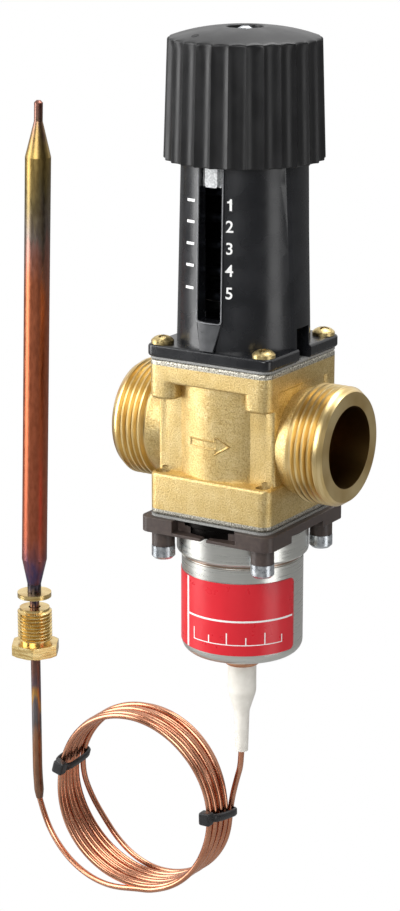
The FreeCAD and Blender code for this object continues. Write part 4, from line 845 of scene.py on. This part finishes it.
class VALVE_OT_housing(bpy.types.Operator):
    """Add the spring housing with its printed scale, and the rim and the chute of its slot, coloured lighter
    than the housing as painted highlights
    """

    bl_idname = "valve.housing"
    bl_label = "Spring housing"

    marks = [84.3, 77.0, 69.5, 62.0, 54.2]
    tick_half = 0.48
    tick_azimuth = (-29.0, -17.6)
    tick_climb = 0.25
    numeral_azimuth = 18.6
    numeral_drop = 0.2
    slot_half = 4.9
    slot_levels = (111.8, 43.9)
    rim_lift = 0.45
    bead_radius = 0.2

    def execute(self, context):
        sizes = context.scene.valve_sizes
        dress_skin("spring_housing", "spring_housing_skin", sizes.edge, "housing_plastic", "housing")
        for number, level in enumerate(self.marks, start=1):
            ends = (level - self.tick_half, level + self.tick_half)
            low, high = column_radius(ends[0]), column_radius(ends[1])
            name = f"scale_tick_{number}"
            tick = wall_patch(name, low, high, self.tick_azimuth, ends, 12, climb=self.tick_climb)
            dress(tick, "housing_plastic", "white_print")
            figure = bend_round(
                f"scale_numeral_{number}", numeral(number, sizes.numeral_height), sizes.numeral_height,
                self.numeral_azimuth, level - self.numeral_drop, column_radius(level),
            )
            dress(figure, "housing_plastic", "white_print")
        self.rim()
        self.tongue()
        return {"FINISHED"}

    def tongue(self):
        """Hollow chute from the slot's lower end out to the foot, coloured lighter than the housing as a
        painted highlight.
        """
        rows, columns = 14, 15
        share = np.linspace(0.0, 1.0, rows)[:, None]
        across = np.linspace(-1.0, 1.0, columns)[None, :] * (4.6 - 2.0 * share)
        level = 42.7 - 9.2 * share + 0.0 * across
        out = 23.15 + 1.35 * share + 0.35 * share ** 3 + 0.12 - 0.015 * across ** 2
        points = np.stack([STEM_X + across, -out, level], axis=-1)
        chute = put_mesh("slot_chute", points * MM, open_grid(rows, columns), outward=False)
        dress(chute, "housing_plastic", "chute")

    def rim(self):
        """Fine bright bead along the frame of the slot, coloured light grey as a painted highlight of the
        frame's edge.
        """
        side = np.linspace(*self.slot_levels, 24)
        left = [(-self.slot_half, level) for level in side]
        foot = [(-4.6, 43.2), (-4.0, 42.95), (0.0, 42.95), (4.0, 42.95), (4.6, 43.2)]
        route = left + foot + [(self.slot_half, level) for level in side[::-1]]
        curve = bpy.data.curves.new("slot_rim_bead", "CURVE")
        curve.dimensions = "3D"
        curve.bevel_depth = self.bead_radius * MM
        curve.bevel_resolution = 3
        curve.use_fill_caps = True
        line = curve.splines.new("POLY")
        line.points.add(len(route) - 1)
        for point, (across, level) in zip(line.points, route):
            reach = column_radius(level) + self.rim_lift
            out = math.sqrt(reach ** 2 - across ** 2)
            point.co = ((STEM_X + across) * MM, -out * MM, level * MM, 1.0)
        dress(put_object("slot_rim_bead", curve), "housing_plastic", "rim")


class VALVE_OT_setting(bpy.types.Operator):
    """Finish the setting nut with its pointer, and the spring in two parts"""

    bl_idname = "valve.setting"
    bl_label = "Setting mechanism"

    spring_foot = 32.5
    spring_split = 43.0
    spring_head = 95.4
    nut_travel = 36.0
    stem_lift = 5.0

    def execute(self, context):
        edge = context.scene.valve_sizes.edge
        dress_skin("setting_nut", "setting_nut_skin", edge, "turned_brass", "silver", "nut")
        upper = 1.0 - self.nut_travel / (self.spring_head - self.spring_split)
        lower = 1.0 - self.stem_lift / (self.spring_split - self.spring_foot)
        self.spring("main_spring_wire", True, "nut_slide", upper)
        self.spring("main_spring_end", False, "stem_slide", lower)
        return {"FINISHED"}

    def spring(self, name, above, joint, keep):
        """Part of the spring above or below its split, with the cut filled; joint and keep are not used."""
        wire = skin("main_spring", name, 0.0, 60.0)
        work = bmesh.new()
        work.from_mesh(wire.data)
        everything = work.verts[:] + work.edges[:] + work.faces[:]
        split = self.spring_split
        cut = bmesh.ops.bisect_plane(
            work, geom=everything, plane_co=(0.0, 0.0, split * MM), plane_no=(0, 0, 1),
            clear_inner=above, clear_outer=not above,
        )
        rim = [part for part in cut["geom_cut"] if isinstance(part, bmesh.types.BMEdge)]
        bmesh.ops.holes_fill(work, edges=rim)
        work.to_mesh(wire.data)
        work.free()
        dress(wire, "zinc_steel", "spring", "main_spring")
        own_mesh(wire)


class VALVE_OT_body(bpy.types.Operator):
    """Add the forged body with its raised flow arrow"""

    bl_idname = "valve.body"
    bl_label = "Valve body"

    barrel = 23.2
    forged_edge = 0.3

    def execute(self, context):
        edge = self.forged_edge * MM
        dress_skin("valve_body", "valve_body_forging", edge, "forged_brass", "forging")
        dress(self.arrow(), "forged_brass", "forging")
        return {"FINISHED"}

    def arrow(self):
        """Arrow raised on the barrel: a ridge that follows the outline of its shaft and head."""
        across = np.linspace(-9.0, 9.0, 145)[None, :]
        up = np.linspace(-3.6, 3.6, 61)[:, None]
        shaft = np.minimum(np.minimum(across + 8.2, 3.5 - across), 1.75 - np.abs(up))
        head = np.minimum(across - 2.2, (8.4 - across) * 0.52 - np.abs(up) * 0.86)
        inside = np.maximum(shaft, head)
        rise = 0.6 * np.clip(1.0 - np.abs(inside - 0.35) / 0.45, 0.0, 1.0) - 0.06
        radius = self.barrel + rise
        turn = across / self.barrel + 0.0 * up
        return wall_sheet("flow_arrow", radius, turn, up + 0.0 * across)


class VALVE_OT_clamp(bpy.types.Operator):
    """Finish the split clamp, the flange screws and the joint sheets"""

    bl_idname = "valve.clamp"
    bl_label = "Clamp and screws"

    def execute(self, context):
        sizes = context.scene.valve_sizes
        for node in ("clamp_half_inlet", "clamp_half_outlet"):
            dress_skin(node, node + "_skin", sizes.edge, "dark_steel", "clamp")
        edge = sizes.turned_edge
        dress_skin("housing_screws", "housing_screw_set", edge, "turned_brass", "screw")
        dress_skin("clamp_screws", "clamp_screw_set", edge, "zinc_steel", "zinc")
        for node in ("upper_gasket", "lower_gasket"):
            paint(node, "gasket")
        return {"FINISHED"}


class VALVE_OT_element(bpy.types.Operator):
    """Add the working element: collar, can with its groove, label, ferrule and sleeve"""

    bl_idname = "valve.element"
    bl_label = "Working element"

    can_radius = 21.8
    collar_edge = 0.3
    label_level = (-76.8, -50.2)
    label_azimuth = (-120.0, 87.0)
    label_corner = 2.0
    film_lift = 0.22
    film_thickness = 0.12
    print_lift = 0.25
    tick_count = 6
    tick_start = -20.0
    tick_step = 18.0
    tick_width = 1.1
    tick_foot = -72.6

    def execute(self, context):
        edge = self.collar_edge * MM
        dress_skin("element_collar", "element_collar_ring", edge, "bright_steel", "collar")
        wall = self.can_radius
        corners = [(0.01, -81.0), (wall, -81.0, 4.0), (wall, -45.1), (21.45, -44.9, 0.1)]
        corners += [(21.45, -44.3, 0.1), (wall, -44.1), (wall, -43.45, 0.2), (20.35, -43.45)]
        corners += [(20.35, -36.9), (19.35, -36.9), (19.35, -44.45), (20.8, -44.45)]
        corners += [(20.8, -80.0, 3.0), (0.01, -80.0)]
        can = turned("element_can_shell", outline(corners, 7), columns=128, closed=False)
        dress(can, "bright_steel", "can", "element_can")
        self.label()
        copper = outline([(0.01, -87.0), (6.45, -87.0, 0.7), (6.45, -81.02), (0.01, -81.02)])
        ferrule = turned("capillary_ferrule_ring", copper, columns=64, closed=False)
        dress(ferrule, "bright_copper", "ferrule", "capillary_ferrule")
        corners = [(1.16, -112.2), (1.16, -121.2), (2.35, -121.2, 0.35), (2.8, -105.5, 8.0)]
        corners += [(5.2, -97.8, 8.0), (5.2, -87.02, 0.3), (0.01, -87.02), (0.01, -112.2)]
        boot = turned("strain_relief_sleeve", outline(corners, 9), columns=64, closed=True)
        dress(boot, "white_sleeve", "sleeve", "strain_relief_boot")
        return {"FINISHED"}

    def label(self):
        """Red film with plain white rules and a row of ticks, and nothing that names anything."""
        wall = self.can_radius
        film = self.film(wall + self.film_lift, self.label_azimuth, self.label_level, self.label_corner)
        thick = film.modifiers.new("film_thickness", "SOLIDIFY")
        thick.thickness = self.film_thickness * MM
        thick.offset = -1.0
        dress(film, "label_print", "label", "element_label")
        rules = [((-27.4, 84.6), (-64.4, -63.7)), ((-30.9, -27.9), (-76.6, -50.4))]
        for number in range(self.tick_count):
            start = self.tick_start + self.tick_step * number
            tall = -69.9 if number % 2 else -68.4
            rules.append(((start, start + self.tick_width), (self.tick_foot, tall)))
        rules.append(((self.tick_start, 71.1), (-72.95, self.tick_foot)))
        for number, (azimuth, level) in enumerate(rules, start=1):
            rule = wall_patch(f"label_rule_{number}", wall, wall, azimuth, level, 40, 2, self.print_lift)
            dress(rule, "label_print", "white_print")

    def film(self, radius, azimuth, level, corner):
        """Sheet on a round wall with two round corners at the end of its azimuth range."""
        rows, columns = 40, 120
        middle, half = (level[0] + level[1]) / 2, (level[1] - level[0]) / 2
        height = middle - half * np.cos(np.linspace(0.0, math.pi, rows))
        short = np.clip(corner - np.minimum(height - level[0], level[1] - height), 0.0, corner)
        taken = np.degrees((corner - np.sqrt(corner ** 2 - short ** 2)) / radius)
        share = np.linspace(0.0, 1.0, columns)[None, :]
        turn = np.radians(azimuth[0] + (azimuth[1] - azimuth[0] - taken[:, None]) * share)
        return wall_sheet("element_label_film", radius, turn, height[:, None] + 0.0 * turn)


class VALVE_OT_sensor(bpy.types.Operator):
    """Finish the sensor, its stem tube and neck, and the gland"""

    bl_idname = "valve.sensor"
    bl_label = "Sensor and gland"

    plan = {
        "tinted": ["sensor_bulb", "stem_tube"],
        "neck": ["neck_sleeve"],
        "brass": ["gland_nut", "gland_washer"],
        "rubber": ["gland_packing"],
    }

    def execute(self, context):
        paint_plan(self.plan)
        return {"FINISHED"}


class VALVE_OT_inside(bpy.types.Operator):
    """Finish the pieces inside the valve that other views and poses show"""

    bl_idname = "valve.inside"
    bl_label = "Inner pieces"

    plan = {
        "brass": ["seat_ring", "upper_guide", "lower_guide", "valve_cone", "bellows"],
        "zinc": ["setting_spindle", "thrust_washer", "spring_plate", "cone_clip"],
        "can": ["valve_stem", "thrust_pin"],
        "rubber": ["upper_o_ring", "lower_o_ring", "cone_seal"],
    }

    def execute(self, context):
        paint_plan(self.plan)
        return {"FINISHED"}


class VALVE_PT_panel(bpy.types.Panel):
    """Sizes, colours and steps of the valve"""

    bl_label = "Temperature control valve"
    bl_idname = "VALVE_PT_panel"
    bl_space_type = "VIEW_3D"
    bl_region_type = "UI"
    bl_category = "Valve"

    def draw(self, context):
        for group in (context.scene.valve_sizes, context.scene.valve_colours):
            for name in group.bl_rna.properties.keys():
                if name not in ("rna_type", "name"):
                    self.layout.prop(group, name)
        for step in STEPS:
            self.layout.operator(step.bl_idname)


STEPS = (
    VALVE_OT_stage, VALVE_OT_capillary, VALVE_OT_knob, VALVE_OT_housing, VALVE_OT_setting, VALVE_OT_body,
    VALVE_OT_clamp, VALVE_OT_element, VALVE_OT_sensor, VALVE_OT_inside,
)
CLASSES = (ValveSizes, ValveColours, *STEPS, VALVE_PT_panel)


def register():
    """Register the classes and the scene's settings."""
    for item in CLASSES:
        bpy.utils.register_class(item)
    bpy.types.Scene.valve_sizes = bpy.props.PointerProperty(type=ValveSizes)
    bpy.types.Scene.valve_colours = bpy.props.PointerProperty(type=ValveColours)


def unregister():
    """Remove the scene's settings and the classes."""
    del bpy.types.Scene.valve_colours
    del bpy.types.Scene.valve_sizes
    for item in reversed(CLASSES):
        bpy.utils.unregister_class(item)


def main():
    """Run every step in order."""
    register()
    make_finishes()
    bpy.ops.valve.stage()
    bpy.ops.valve.sensor()
    bpy.ops.valve.capillary()
    bpy.ops.valve.knob()
    bpy.ops.valve.housing()
    bpy.ops.valve.setting()
    bpy.ops.valve.body()
    bpy.ops.valve.clamp()
    bpy.ops.valve.element()
    bpy.ops.valve.inside()


if __name__ == "__main__":
    main()
